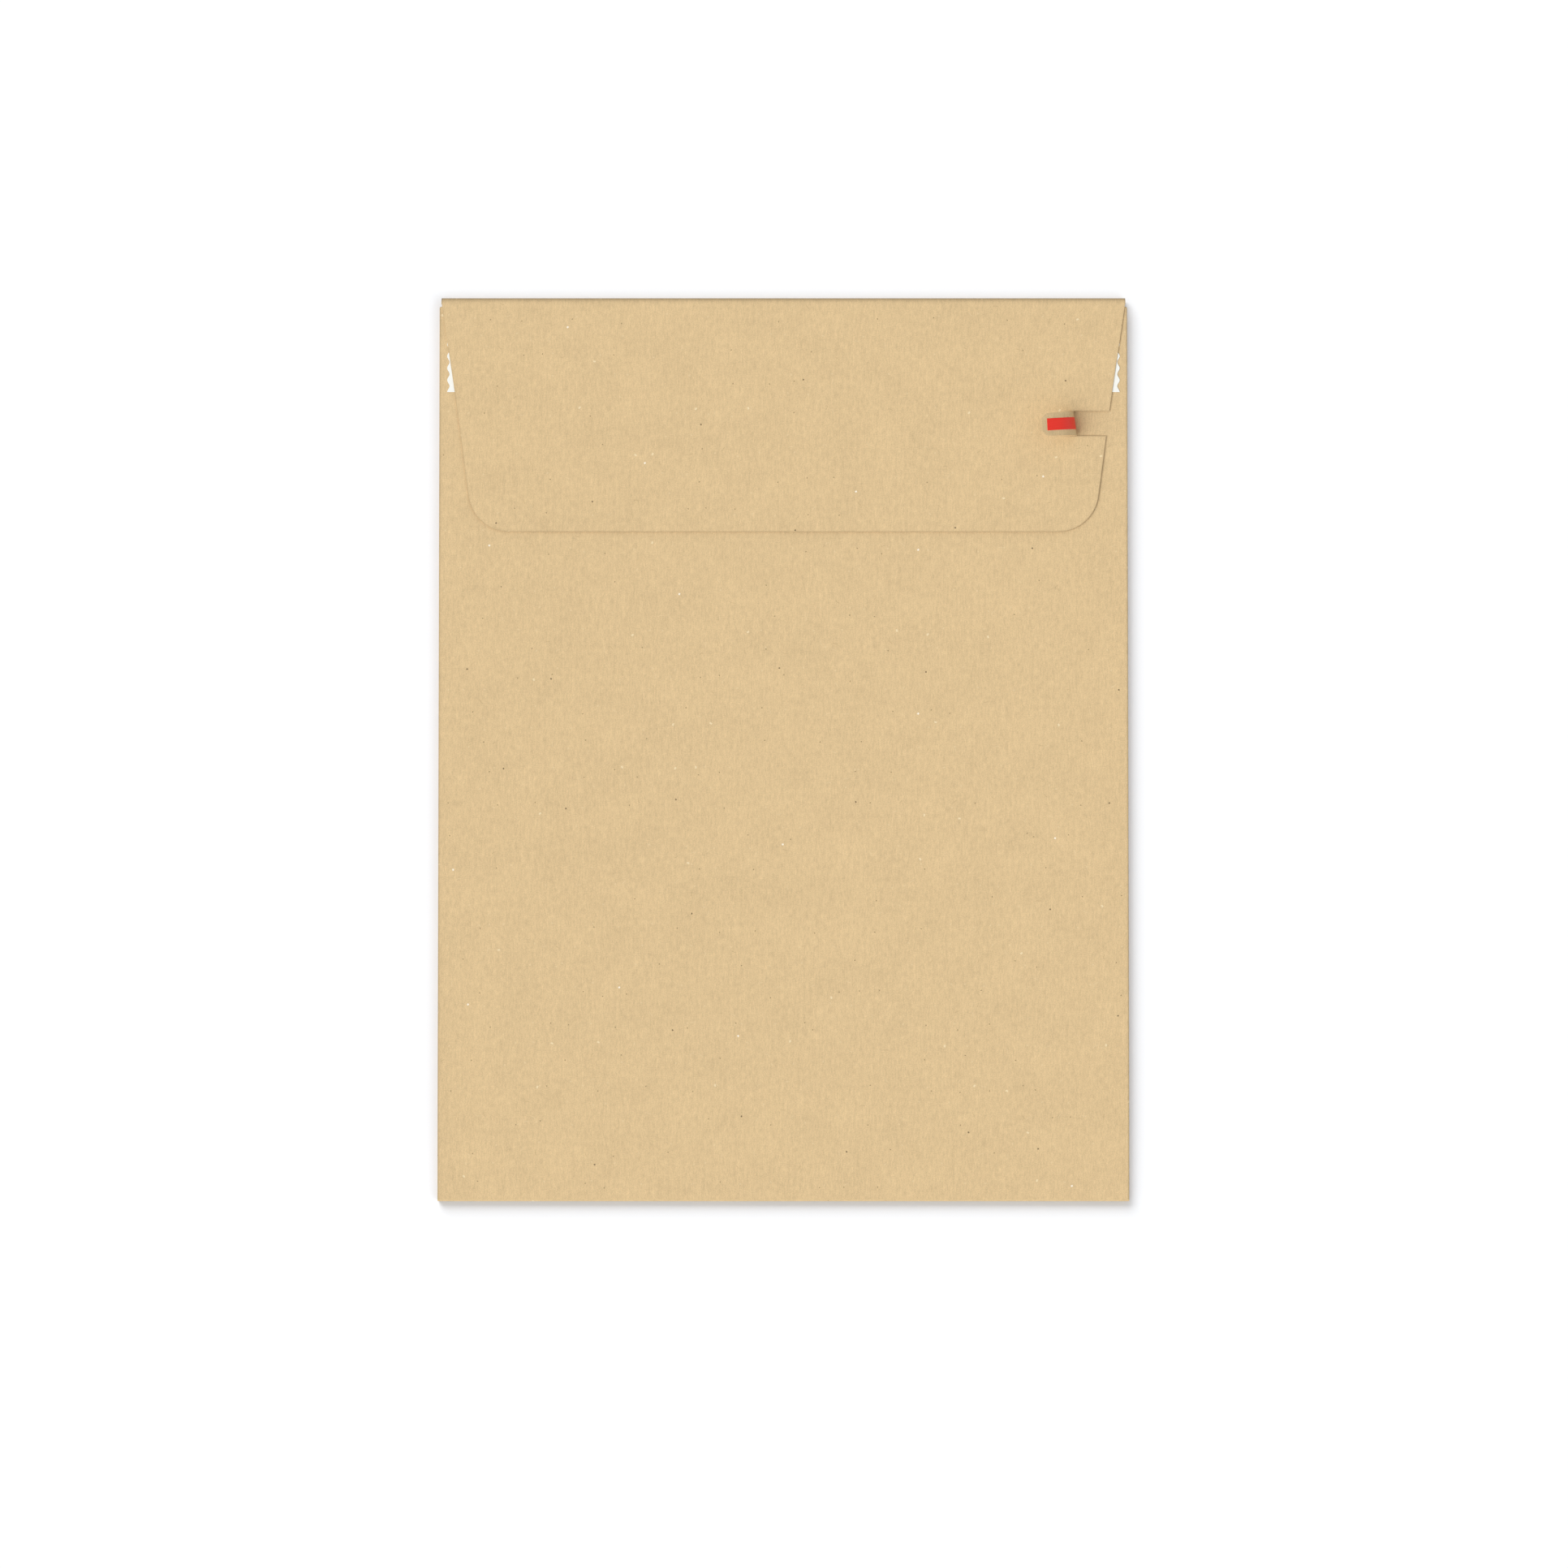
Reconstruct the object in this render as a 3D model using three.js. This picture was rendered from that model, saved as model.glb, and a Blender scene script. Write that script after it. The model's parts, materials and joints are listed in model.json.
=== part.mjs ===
// A gusseted kraft paper mailing bag, empty, lying flat with its flap folded over and facing up.
// Millimetres. X runs across the bag, Y from the bottom crease to the mouth, Z up.
// The origin is under the middle of the bag, on the surface that it lies on.
import * as THREE from "three";

// Sheets and layers
const paper = 0.2; // kraft sheet, about 130 grams a square metre
const glueLine = 0.15; // dried glue between a lap and the sheet it closes
const adhesive = 0.15; // sticky strip
const liner = 0.1; // white release paper over a sticky strip
const tape = 0.12; // red tear tape
const sheetGap = 0.15; // air between sheets that lie on each other
const releaseGap = 0.05; // between a sticky strip and its release paper, and beside the tear tape
const creaseGap = 0.1; // between two panels at the crease that they share
const flapGap = 0.2; // between the flap's strips and the back panel

// The bag
const bagLength = 457; // from the bottom crease to the crease that the flap turns over
const bottomWidth = 350;
const sideTaper = 1.2; // each side comes in by this much from the bottom to the mouth
const throatStep = 0.6; // and steps in by this much more where the flap begins
const throatDepth = 4.5; // the back panel and the gussets stop this far short of the flap's crease
const loft = 5.6; // clear height inside while the bag is empty
const gussetDepth = 40; // each side gusset folds in by this much
const toeLength = 60; // over this length the back panel comes down to the bottom crease
const bottomSpring = 3; // the folded layers hold the bottom open by this much
const bottomLapLength = 30; // glued under the front panel
const bottomGlueMargin = 3;
const joggleLength = 3; // over this length the front panel steps up onto the bottom lap
const seamLapWidth = 15; // side seam, glued inside the back panel on the left
const seamGlueMargin = 2;

// The flap
const flapLength = 118.3;
const flapSideAngle = THREE.MathUtils.degToRad(8.1); // each side leans in by this much
const flapStraight = 2; // its sides start leaning this far from the crease
const flapCornerRadius = 20.5;
const tearLine = 57.1; // from the crease to the first of the two tear lines
const tearBand = 12.3; // between the two tear lines
const tapeWidth = 6;

// The pull tab, the free end of the tear strip, folded back and springing up over the flap
const notchLength = 20.16; // from the flap's edge in to where the tab leaves it
const tabLength = 22.2; // straight part, past the bend
const tabBendRadius = 2; // to the middle of the sheet
const tabTurn = THREE.MathUtils.degToRad(140); // how far it is folded back
const tabSkew = THREE.MathUtils.degToRad(2.6); // lean of the bend's axis
const tabSideClearance = 0.1; // to the tear lines beside it
const tabTaper = 0.55; // each side comes in by this much towards the tab's end
const tabCornerRadius = 2.7;
const tapeShortfall = 2.9; // the tape stops this far short of the tab's end

// The two sticky strips, each under its release paper
const linerHeight = 26;
const adhesiveHeight = 20;
const returnLinerMargin = 3.6; // from the bag's side edges
const sealLinerMargin = 8.7; // from the flap's side edges
const adhesiveEndMargin = 5; // the sticky strip is shorter than its release paper, at each end
const returnStripReach = 47.7; // from the crease to the far edge of the back panel's release paper
const wavePeriod = 6.35; // pinked ends of the release paper
const waveHeight = 1.2;

// How finely curves are drawn
const waveSteps = 12; // for each wave
const cornerSteps = 16;
const bendSteps = 20;

// Places along the bag
const topY = bagLength / 2;
const bottomY = -bagLength / 2;
const mouthY = topY - throatDepth;
const insideY = bottomY + paper + sheetGap; // sheets inside the bottom fold start here
const lapEndY = bottomY + bottomLapLength;
const joggleY = lapEndY + sheetGap;
const flatY = joggleY + joggleLength; // from here on the front panel lies flat
const toeTopY = bottomY + toeLength;
const hingeY = topY - paper / 2; // both creases of the mouth fold

// Heights: the bag lies on its front panel
const pinchStack = 5 * paper + 2 * glueLine + 3 * sheetGap; // layers under the back panel at the bottom
const pinchHeight = pinchStack + bottomSpring;
const backZ = paper + loft; // inner face of the back panel
const backTop = backZ + paper;
const stripStack = adhesive + releaseGap + liner;
const flapZ = backTop + stripStack + flapGap; // inner face of the flap
const flapTop = flapZ + paper;
const flapMiddle = flapZ + paper / 2;
const throatWidth = bottomWidth - 2 * (sideTaper + throatStep);

const finish = (color, roughness) =>
  new THREE.MeshStandardMaterial({ color, roughness, metalness: 0 });
const kraft = finish("#ddc295", 0.85);
const kraftInside = finish("#d8bc90", 0.88);
const releasePaper = finish("#f8f8f0", 0.4);
const stickyStrip = finish("#efe8d2", 0.3);
const driedGlue = finish("#e6d9b8", 0.5);
const redTape = finish("#e2463a", 0.35);

const { clamp, lerp } = THREE.MathUtils;

// Half of the bag's width, which grows a little towards the bottom.
function halfWidth(y) {
  return bottomWidth / 2 - (sideTaper * (y - bottomY)) / bagLength;
}

// Half of the flap's width at a distance from its crease.
function flapHalfWidth(distance) {
  const leaning = Math.max(0, distance - flapStraight);
  return throatWidth / 2 - leaning * Math.tan(flapSideAngle);
}

// Height of the front panel's outer face, raised near the bottom by the lap and its glue.
function frontUnder(y) {
  return (paper + glueLine) * clamp((flatY - y) / joggleLength, 0, 1);
}

function frontTop(y) {
  return frontUnder(y) + paper;
}

// Height of the back panel's inner face, which comes down over the toe.
function backUnder(y) {
  return lerp(pinchHeight, backZ, clamp((y - insideY) / (toeTopY - insideY), 0, 1));
}

function named(name, geometry, material) {
  const mesh = new THREE.Mesh(geometry, material);
  mesh.name = name;
  return mesh;
}

// A closed solid through sections of as many corners each, as a BufferGeometry. Its two broad
// sides are split along the same diagonals, so that a twisted sheet keeps its thickness.
function loftSolid(sections) {
  const corners = sections[0].length;
  const points = sections.flat();
  const faces = [];
  for (let s = 0; s + 1 < sections.length; s++) {
    for (let c = 0; c < corners; c++) {
      const a = s * corners + c;
      const b = s * corners + ((c + 1) % corners);
      if (c < corners / 2) {
        faces.push([a, a + corners, b + corners], [a, b + corners, b]);
      } else {
        faces.push([a, a + corners, b], [b, a + corners, b + corners]);
      }
    }
  }
  const last = points.length - corners;
  for (let c = 1; c + 1 < corners; c++) {
    faces.push([0, c, c + 1], [last, last + c + 1, last + c]);
  }
  // The faces of a solid that came out inside out are turned round.
  const volume = faces.reduce(
    (sum, [a, b, c]) => sum + points[a].dot(points[b].clone().cross(points[c])),
    0,
  );
  const order = volume < 0 ? faces.map(([a, b, c]) => [a, c, b]) : faces;
  return new THREE.BufferGeometry().setFromPoints(order.flat().map((i) => points[i]));
}

// A sheet along Y through the given stations. Each edge is a function of y that gives [x, z] on
// the sheet's lower face.
function ribbon(stations, edgeA, edgeB, thickness) {
  const along = [...stations].sort((a, b) => a - b);
  return loftSolid(
    along.map((y) => {
      const [xa, za] = edgeA(y);
      const [xb, zb] = edgeB(y);
      return [
        new THREE.Vector3(xa, y, za),
        new THREE.Vector3(xb, y, zb),
        new THREE.Vector3(xb, y, zb + thickness),
        new THREE.Vector3(xa, y, za + thickness),
      ];
    }),
  );
}

// A flat plate with its outline in X and Y and its lower face at height low.
function plate(outline, low, thickness) {
  return new THREE.ExtrudeGeometry(outline, {
    depth: thickness,
    bevelEnabled: false,
    curveSegments: cornerSteps,
  }).translate(0, 0, low);
}

function polygon(points) {
  return new THREE.Shape(points.map(([x, y]) => new THREE.Vector2(x, y)));
}

function rectangle(left, right, low, high) {
  return polygon([
    [left, low],
    [right, low],
    [right, high],
    [left, high],
  ]);
}

// A strip across the bag whose two ends are pinked in waves, crest at the far edge.
function pinkedStrip(halfLength, farY, height) {
  const steps = Math.round((waveSteps * height) / wavePeriod);
  const end = (i) => {
    const y = farY + (height * i) / steps;
    const wave = Math.cos((2 * Math.PI * (y - farY)) / wavePeriod);
    return [halfLength - (waveHeight / 2) * (1 - wave), y];
  };
  const right = Array.from({ length: steps + 1 }, (_, i) => end(i));
  const left = right.map(([x, y]) => [-x, y]).reverse();
  return polygon([...right, ...left]);
}

// The front panel: a flat sheet, and its heel, which steps up onto the bottom lap.
function frontPanel() {
  const group = new THREE.Group();
  const outline = polygon([
    [-halfWidth(flatY), flatY],
    [halfWidth(flatY), flatY],
    [halfWidth(mouthY), mouthY],
    [throatWidth / 2, mouthY],
    [throatWidth / 2, topY],
    [-throatWidth / 2, topY],
    [-throatWidth / 2, mouthY],
    [-halfWidth(mouthY), mouthY],
  ]);
  const heel = ribbon(
    [insideY, joggleY, flatY],
    (y) => [-halfWidth(y), frontUnder(y)],
    (y) => [halfWidth(y), frontUnder(y)],
    paper,
  );
  group.add(named("front_panel", plate(outline, 0, paper), kraft));
  group.add(named("front_panel_heel", heel, kraft));
  return group;
}

// The bottom: the sheet turns round at the fold, and its lap is glued under the front panel.
function bottomClosure() {
  const group = new THREE.Group();
  const side = bottomWidth / 2;
  const lap = plate(rectangle(-side, side, bottomY, lapEndY), 0, paper);
  const fold = plate(rectangle(-side, side, bottomY, bottomY + paper), paper, pinchHeight);
  const glue = plate(
    rectangle(
      -side + bottomGlueMargin,
      side - bottomGlueMargin,
      insideY + bottomGlueMargin,
      lapEndY - bottomGlueMargin,
    ),
    paper,
    glueLine,
  );
  group.add(named("bottom_lap", lap, kraft));
  group.add(named("bottom_fold", fold, kraft));
  group.add(named("bottom_glue", glue, driedGlue));
  return group;
}

// One side gusset: two halves that meet at an inner crease half way up.
function gusset(name, side, seamStack) {
  const group = new THREE.Group();
  const stations = [insideY, joggleY, flatY, toeTopY, mouthY];
  const outerX = (y) => side * halfWidth(y);
  const innerX = (y) => side * (halfWidth(y) - gussetDepth);
  const middle = (y) => (frontTop(y) + backUnder(y)) / 2;
  const lower = ribbon(
    stations,
    (y) => [outerX(y), frontTop(y) + sheetGap],
    (y) => [innerX(y), middle(y) - creaseGap / 2 - paper],
    paper,
  );
  const upper = ribbon(
    stations,
    (y) => [outerX(y), backUnder(y) - seamStack - sheetGap - paper],
    (y) => [innerX(y), middle(y) + creaseGap / 2],
    paper,
  );
  group.add(named(name + "_lower", lower, kraft));
  group.add(named(name + "_upper", upper, kraft));
  return group;
}

// The back panel, its toe, and the side seam that closes the tube inside its left edge.
function backPanel() {
  const group = new THREE.Group();
  const outline = polygon([
    [-halfWidth(toeTopY), toeTopY],
    [halfWidth(toeTopY), toeTopY],
    [halfWidth(mouthY), mouthY],
    [-halfWidth(mouthY), mouthY],
  ]);
  const toe = ribbon(
    [insideY, toeTopY - creaseGap],
    (y) => [-halfWidth(y), backUnder(y)],
    (y) => [halfWidth(y), backUnder(y)],
    paper,
  );
  const seam = (margin, depth, thickness) =>
    ribbon(
      [insideY, toeTopY, mouthY],
      (y) => [-halfWidth(y) + margin, backUnder(y) - depth],
      (y) => [-halfWidth(y) + seamLapWidth - margin, backUnder(y) - depth],
      thickness,
    );
  const glue = seam(seamGlueMargin, glueLine - releaseGap / 2, glueLine - releaseGap);
  const lap = seam(0, glueLine + paper, paper);
  group.add(named("back_panel", plate(outline, backZ, paper), kraft));
  group.add(named("back_panel_toe", toe, kraft));
  group.add(named("side_seam_lap", lap, kraftInside));
  group.add(named("side_seam_glue", glue, driedGlue));
  return group;
}

// The return strip on the back panel: adhesive, and the release paper that shows beside the flap.
function returnStrip() {
  const group = new THREE.Group();
  const farY = topY - returnStripReach;
  const middleY = farY + linerHeight / 2;
  const coverHalf = halfWidth(farY) - returnLinerMargin;
  const reach = coverHalf - adhesiveEndMargin;
  const strip = rectangle(
    -reach,
    reach,
    middleY - adhesiveHeight / 2,
    middleY + adhesiveHeight / 2,
  );
  const cover = pinkedStrip(coverHalf, farY, linerHeight);
  const coverZ = backTop + adhesive + releaseGap;
  group.add(named("return_adhesive", plate(strip, backTop, adhesive), stickyStrip));
  group.add(named("return_liner", plate(cover, coverZ, liner), releasePaper));
  return group;
}

// The mouth fold: the narrow wall between the front panel's crease and the flap's crease.
function mouthFold() {
  const low = paper + creaseGap;
  const wall = rectangle(-throatWidth / 2, throatWidth / 2, topY - paper, topY);
  return named("mouth_fold", plate(wall, low, flapTop - low), kraft);
}

// The flap above the first tear line.
function flapUpper() {
  const rootY = hingeY - paper / 2 - creaseGap;
  const side = throatWidth / 2;
  const tearSide = flapHalfWidth(tearLine);
  const outline = polygon([
    [-tearSide, topY - tearLine],
    [tearSide, topY - tearLine],
    [side, topY - flapStraight],
    [side, rootY],
    [-side, rootY],
    [-side, topY - flapStraight],
  ]);
  return named("flap_upper", plate(outline, flapZ, paper), kraft);
}

// The flap below the second tear line, with its two round corners.
function flapLower() {
  const tearY = topY - tearLine - tearBand;
  const tipY = topY - flapLength;
  const centreY = tipY + flapCornerRadius;
  const centreX =
    flapHalfWidth(topY - centreY) - flapCornerRadius / Math.cos(flapSideAngle);
  const tearSide = flapHalfWidth(tearLine + tearBand);
  const outline = new THREE.Shape();
  outline.moveTo(tearSide, tearY);
  outline.lineTo(-tearSide, tearY);
  outline.absarc(
    -centreX,
    centreY,
    flapCornerRadius,
    Math.PI + flapSideAngle,
    1.5 * Math.PI,
    false,
  );
  outline.absarc(
    centreX,
    centreY,
    flapCornerRadius,
    -0.5 * Math.PI,
    -flapSideAngle,
    false,
  );
  outline.closePath();
  return named("flap_lower", plate(outline, flapZ, paper), kraft);
}

// The first sealing strip, under the flap's lower part: adhesive, then its release paper.
function sealStrip() {
  const group = new THREE.Group();
  const middleY = topY - (tearLine + tearBand + flapLength) / 2;
  const farY = middleY - linerHeight / 2;
  const coverHalf = flapHalfWidth(topY - farY) - sealLinerMargin;
  const reach = coverHalf - adhesiveEndMargin;
  const strip = rectangle(
    -reach,
    reach,
    middleY - adhesiveHeight / 2,
    middleY + adhesiveHeight / 2,
  );
  const cover = pinkedStrip(coverHalf, farY, linerHeight);
  const coverZ = flapZ - stripStack;
  group.add(named("seal_adhesive", plate(strip, flapZ - adhesive, adhesive), stickyStrip));
  group.add(named("seal_liner", plate(cover, coverZ, liner), releasePaper));
  return group;
}

// The bend of the pull tab turns about this point, along this axis.
const tabRoot = flapHalfWidth(tearLine) - notchLength;
const bandMiddleY = topY - tearLine - tearBand / 2;
const bendCentre = new THREE.Vector3(tabRoot, bandMiddleY, flapMiddle + tabBendRadius);
const bendAxis = new THREE.Vector3(-Math.sin(tabSkew), Math.cos(tabSkew), 0);
const bendAcross = new THREE.Vector3(Math.cos(tabSkew), Math.sin(tabSkew), 0);
const tapeTop = -paper / 2 - releaseGap; // from the middle of the sheet, on its inner side
const tabHalfWidth = tearBand / 2 - tabSideClearance;

// X of the cut across the strip, parallel to the bend's axis, at a distance from the strip's middle.
function rootX(across) {
  return tabRoot - across * Math.tan(tabSkew);
}

// The tear strip between the two tear lines, with its red tape underneath.
function tearStrip() {
  const group = new THREE.Group();
  const band = (halfHeight) => {
    const low = bandMiddleY - halfHeight;
    const high = bandMiddleY + halfHeight;
    return polygon([
      [-flapHalfWidth(topY - low), low],
      [rootX(-halfHeight) - creaseGap, low],
      [rootX(halfHeight) - creaseGap, high],
      [-flapHalfWidth(topY - high), high],
    ]);
  };
  const strip = plate(band(tearBand / 2 - sheetGap), flapZ, paper);
  const red = plate(band(tapeWidth / 2), flapMiddle + tapeTop - tape, tape);
  group.add(named("tear_strip", strip, kraft));
  group.add(named("tear_tape", red, redTape));
  return group;
}

// A sheet bent round the axis of the pull tab, from the tear strip to the tab.
function bentSheet(innerRadius, thickness, halfSpan) {
  const margin = creaseGap / tabBendRadius;
  const span = halfSpan / Math.cos(tabSkew);
  const corner = (turn, radius, across) =>
    bendCentre
      .clone()
      .addScaledVector(bendAcross, radius * Math.sin(turn))
      .addScaledVector(bendAxis, across)
      .add(new THREE.Vector3(0, 0, -radius * Math.cos(turn)));
  const sections = [];
  for (let i = 0; i <= bendSteps; i++) {
    const turn = lerp(margin, tabTurn - margin, i / bendSteps);
    sections.push([
      corner(turn, innerRadius, -span),
      corner(turn, innerRadius, span),
      corner(turn, innerRadius + thickness, span),
      corner(turn, innerRadius + thickness, -span),
    ]);
  }
  return loftSolid(sections);
}

// The bend between the tear strip and its folded tab.
function tabBend() {
  const group = new THREE.Group();
  const inner = tabBendRadius - paper / 2;
  const sheet = bentSheet(inner, paper, tabHalfWidth);
  const red = bentSheet(tabBendRadius - tapeTop, tape, tapeWidth / 2);
  group.add(named("tab_bend", sheet, kraft));
  group.add(named("tape_bend", red, redTape));
  return group;
}

// The pull tab, drawn flat past the tear strip and turned back over the bend.
function pullTab() {
  const group = new THREE.Group();
  const start = creaseGap;
  const outline = new THREE.Shape();
  const skewAt = (across) => start - across * Math.tan(tabSkew);
  const cornerX = tabLength - tabCornerRadius;
  const cornerY = tabHalfWidth - tabTaper - tabCornerRadius;
  outline.moveTo(skewAt(tabHalfWidth), tabHalfWidth);
  outline.lineTo(skewAt(-tabHalfWidth), -tabHalfWidth);
  outline.absarc(cornerX, -cornerY, tabCornerRadius, -0.5 * Math.PI, 0, false);
  outline.absarc(cornerX, cornerY, tabCornerRadius, 0, 0.5 * Math.PI, false);
  outline.closePath();
  const tapeHalf = tapeWidth / 2;
  const tapeEnd = tabLength - tapeShortfall;
  const tapeOutline = polygon([
    [skewAt(-tapeHalf), -tapeHalf],
    [tapeEnd, -tapeHalf],
    [tapeEnd, tapeHalf],
    [skewAt(tapeHalf), tapeHalf],
  ]);
  const sheetLow = -tabBendRadius - paper / 2;
  const tapeLow = -tabBendRadius + tapeTop - tape;
  group.add(named("tear_tab", plate(outline, sheetLow, paper), kraft));
  group.add(named("tab_tape", plate(tapeOutline, tapeLow, tape), redTape));
  group.position.copy(bendCentre);
  group.quaternion.setFromAxisAngle(bendAxis, -tabTurn);
  return group;
}

const tube = new THREE.Group();
tube.add(frontPanel());
tube.add(bottomClosure());
tube.add(gusset("left_gusset", -1, paper + glueLine));
tube.add(gusset("right_gusset", 1, 0));
tube.add(backPanel());

const flap = new THREE.Group();
flap.add(flapUpper());
flap.add(flapLower());
flap.add(sealStrip());
flap.add(tearStrip());
flap.add(tabBend());
flap.add(pullTab());

const mailingBag = new THREE.Group();
mailingBag.add(tube);
mailingBag.add(returnStrip());
mailingBag.add(mouthFold());
mailingBag.add(flap);

export default mailingBag;
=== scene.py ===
"""A gusseted kraft paper mailing bag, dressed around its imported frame.

The bag is one folded kraft sheet. Every panel, crease and lap is drawn here as a thin sheet on the
frame's places, with rounded folds between them, and dressed with node-based paper, release paper,
tape and adhesive finishes. Lengths are metres; MM turns millimetres into metres.
"""

import json
import logging
import math
from dataclasses import dataclass, field
from enum import Enum
from typing import Callable

import bmesh
import bpy
import numpy as np
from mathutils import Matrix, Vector

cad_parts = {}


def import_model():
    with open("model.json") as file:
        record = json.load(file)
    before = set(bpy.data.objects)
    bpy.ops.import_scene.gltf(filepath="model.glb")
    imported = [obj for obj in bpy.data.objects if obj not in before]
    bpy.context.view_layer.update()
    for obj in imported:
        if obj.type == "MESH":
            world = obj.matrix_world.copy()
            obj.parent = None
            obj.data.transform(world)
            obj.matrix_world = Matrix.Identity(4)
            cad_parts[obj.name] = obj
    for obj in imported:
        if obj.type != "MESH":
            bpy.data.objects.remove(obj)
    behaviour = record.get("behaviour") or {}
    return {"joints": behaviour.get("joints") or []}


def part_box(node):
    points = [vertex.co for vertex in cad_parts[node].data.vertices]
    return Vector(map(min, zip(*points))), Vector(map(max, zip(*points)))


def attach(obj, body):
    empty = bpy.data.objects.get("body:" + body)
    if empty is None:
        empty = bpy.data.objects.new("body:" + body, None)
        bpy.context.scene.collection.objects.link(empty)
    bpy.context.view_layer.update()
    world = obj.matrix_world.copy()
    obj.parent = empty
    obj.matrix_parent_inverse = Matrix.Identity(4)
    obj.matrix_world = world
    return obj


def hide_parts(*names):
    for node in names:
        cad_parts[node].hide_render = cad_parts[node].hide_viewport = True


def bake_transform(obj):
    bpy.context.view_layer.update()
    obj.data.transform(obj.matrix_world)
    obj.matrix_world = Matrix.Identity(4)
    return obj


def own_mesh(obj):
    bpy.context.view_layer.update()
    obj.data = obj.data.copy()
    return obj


log = logging.getLogger("mailing_bag")

MM = 0.001
Array = np.ndarray
Socket = bpy.types.NodeSocket
Color = tuple[float, float, float]
Triple = tuple[float, float, float]

CUT_STEPS = np.array([0.0, 0.3, 0.6, 1.0]) * MM
# Distances from an edge where a sheet has points, so that the painted shade along an edge stays
# narrow.
"""Distances from an edge where a sheet has points, so that a pressed edge stays narrow."""


class Body(Enum):
    """The bodies of the frame that a piece can move with."""

    ROOT = "root"
    BACK = "back_panel"
    RETURN_LINER = "return_liner"
    MOUTH = "mouth_fold"
    FLAP = "flap"
    SEAL_LINER = "seal_liner"
    STRIP = "tear_strip"
    TAB = "tear_tab"


class Slot(Enum):
    """The record's material slots."""

    KRAFT = "kraft_paper"
    RELEASE = "release_paper"
    ADHESIVE = "adhesive"
    GLUE = "glue"
    TAPE = "tear_tape"


class Side(Enum):
    """A side of the bag, as the sign of X."""

    LEFT = -1
    RIGHT = 1


def linear(red: float, green: float, blue: float) -> Color:
    """Turns a screen colour into a linear one.

    Args:
        red: Red from 0 to 255.
        green: Green from 0 to 255.
        blue: Blue from 0 to 255.

    Returns:
        The linear colour, each part from 0 to 1.
    """
    knee, slope, lift, power = 0.04045, 12.92, 0.055, 2.4
    shares = (red / 255, green / 255, blue / 255)
    return tuple(s / slope if s <= knee else ((s + lift) / (1 + lift)) ** power for s in shares)


def smooth(share: Array | float) -> Array | float:
    """Eases a share from 0 to 1, flat at both ends."""
    held = np.clip(share, 0.0, 1.0)
    return held * held * (3 - 2 * held)


def steps(start: float, end: float, spacing: float) -> Array:
    """Even places from start to end, about one spacing apart."""
    return np.linspace(start, end, max(2, round(abs(end - start) / spacing) + 1))


def edge_steps(width: float, spacing: float) -> Array:
    """Shares of a width from 0 to 1, with more points near both cut edges.

    Args:
        width: The width.
        spacing: Distance between points away from the edges.

    Returns:
        The shares.
    """
    near = CUT_STEPS / width
    return np.concatenate([near[:-1], steps(near[-1], 1 - near[-1], spacing / width),
                           1 - near[-2::-1]])


def grid(*coordinates: Array) -> Array:
    """Rows and columns of points, from coordinates given for each, by row or by column."""
    return np.stack(np.broadcast_arrays(*coordinates), axis=2)


def line_mark(away: Array, width: float) -> Array:
    """How strongly a line marks the paper, 1 on the line and little past its width."""
    return np.exp(-((away / width) ** 2))


@dataclass(frozen=True)
class Wave:
    """One of the long shallow waves of the paper.

    Attributes:
        across: Way across the bag in which its phase grows by 1.
        along: Way along the bag in which its phase grows by 1, below 0 where it falls.
        phase: Its phase at the middle of the frame.
    """

    across: float
    along: float
    phase: float

    def height(self, x: Array, y: Array) -> Array:
        """Its height at each place, from -1 to 1."""
        return np.sin(x / self.across + y / self.along + self.phase)


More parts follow.
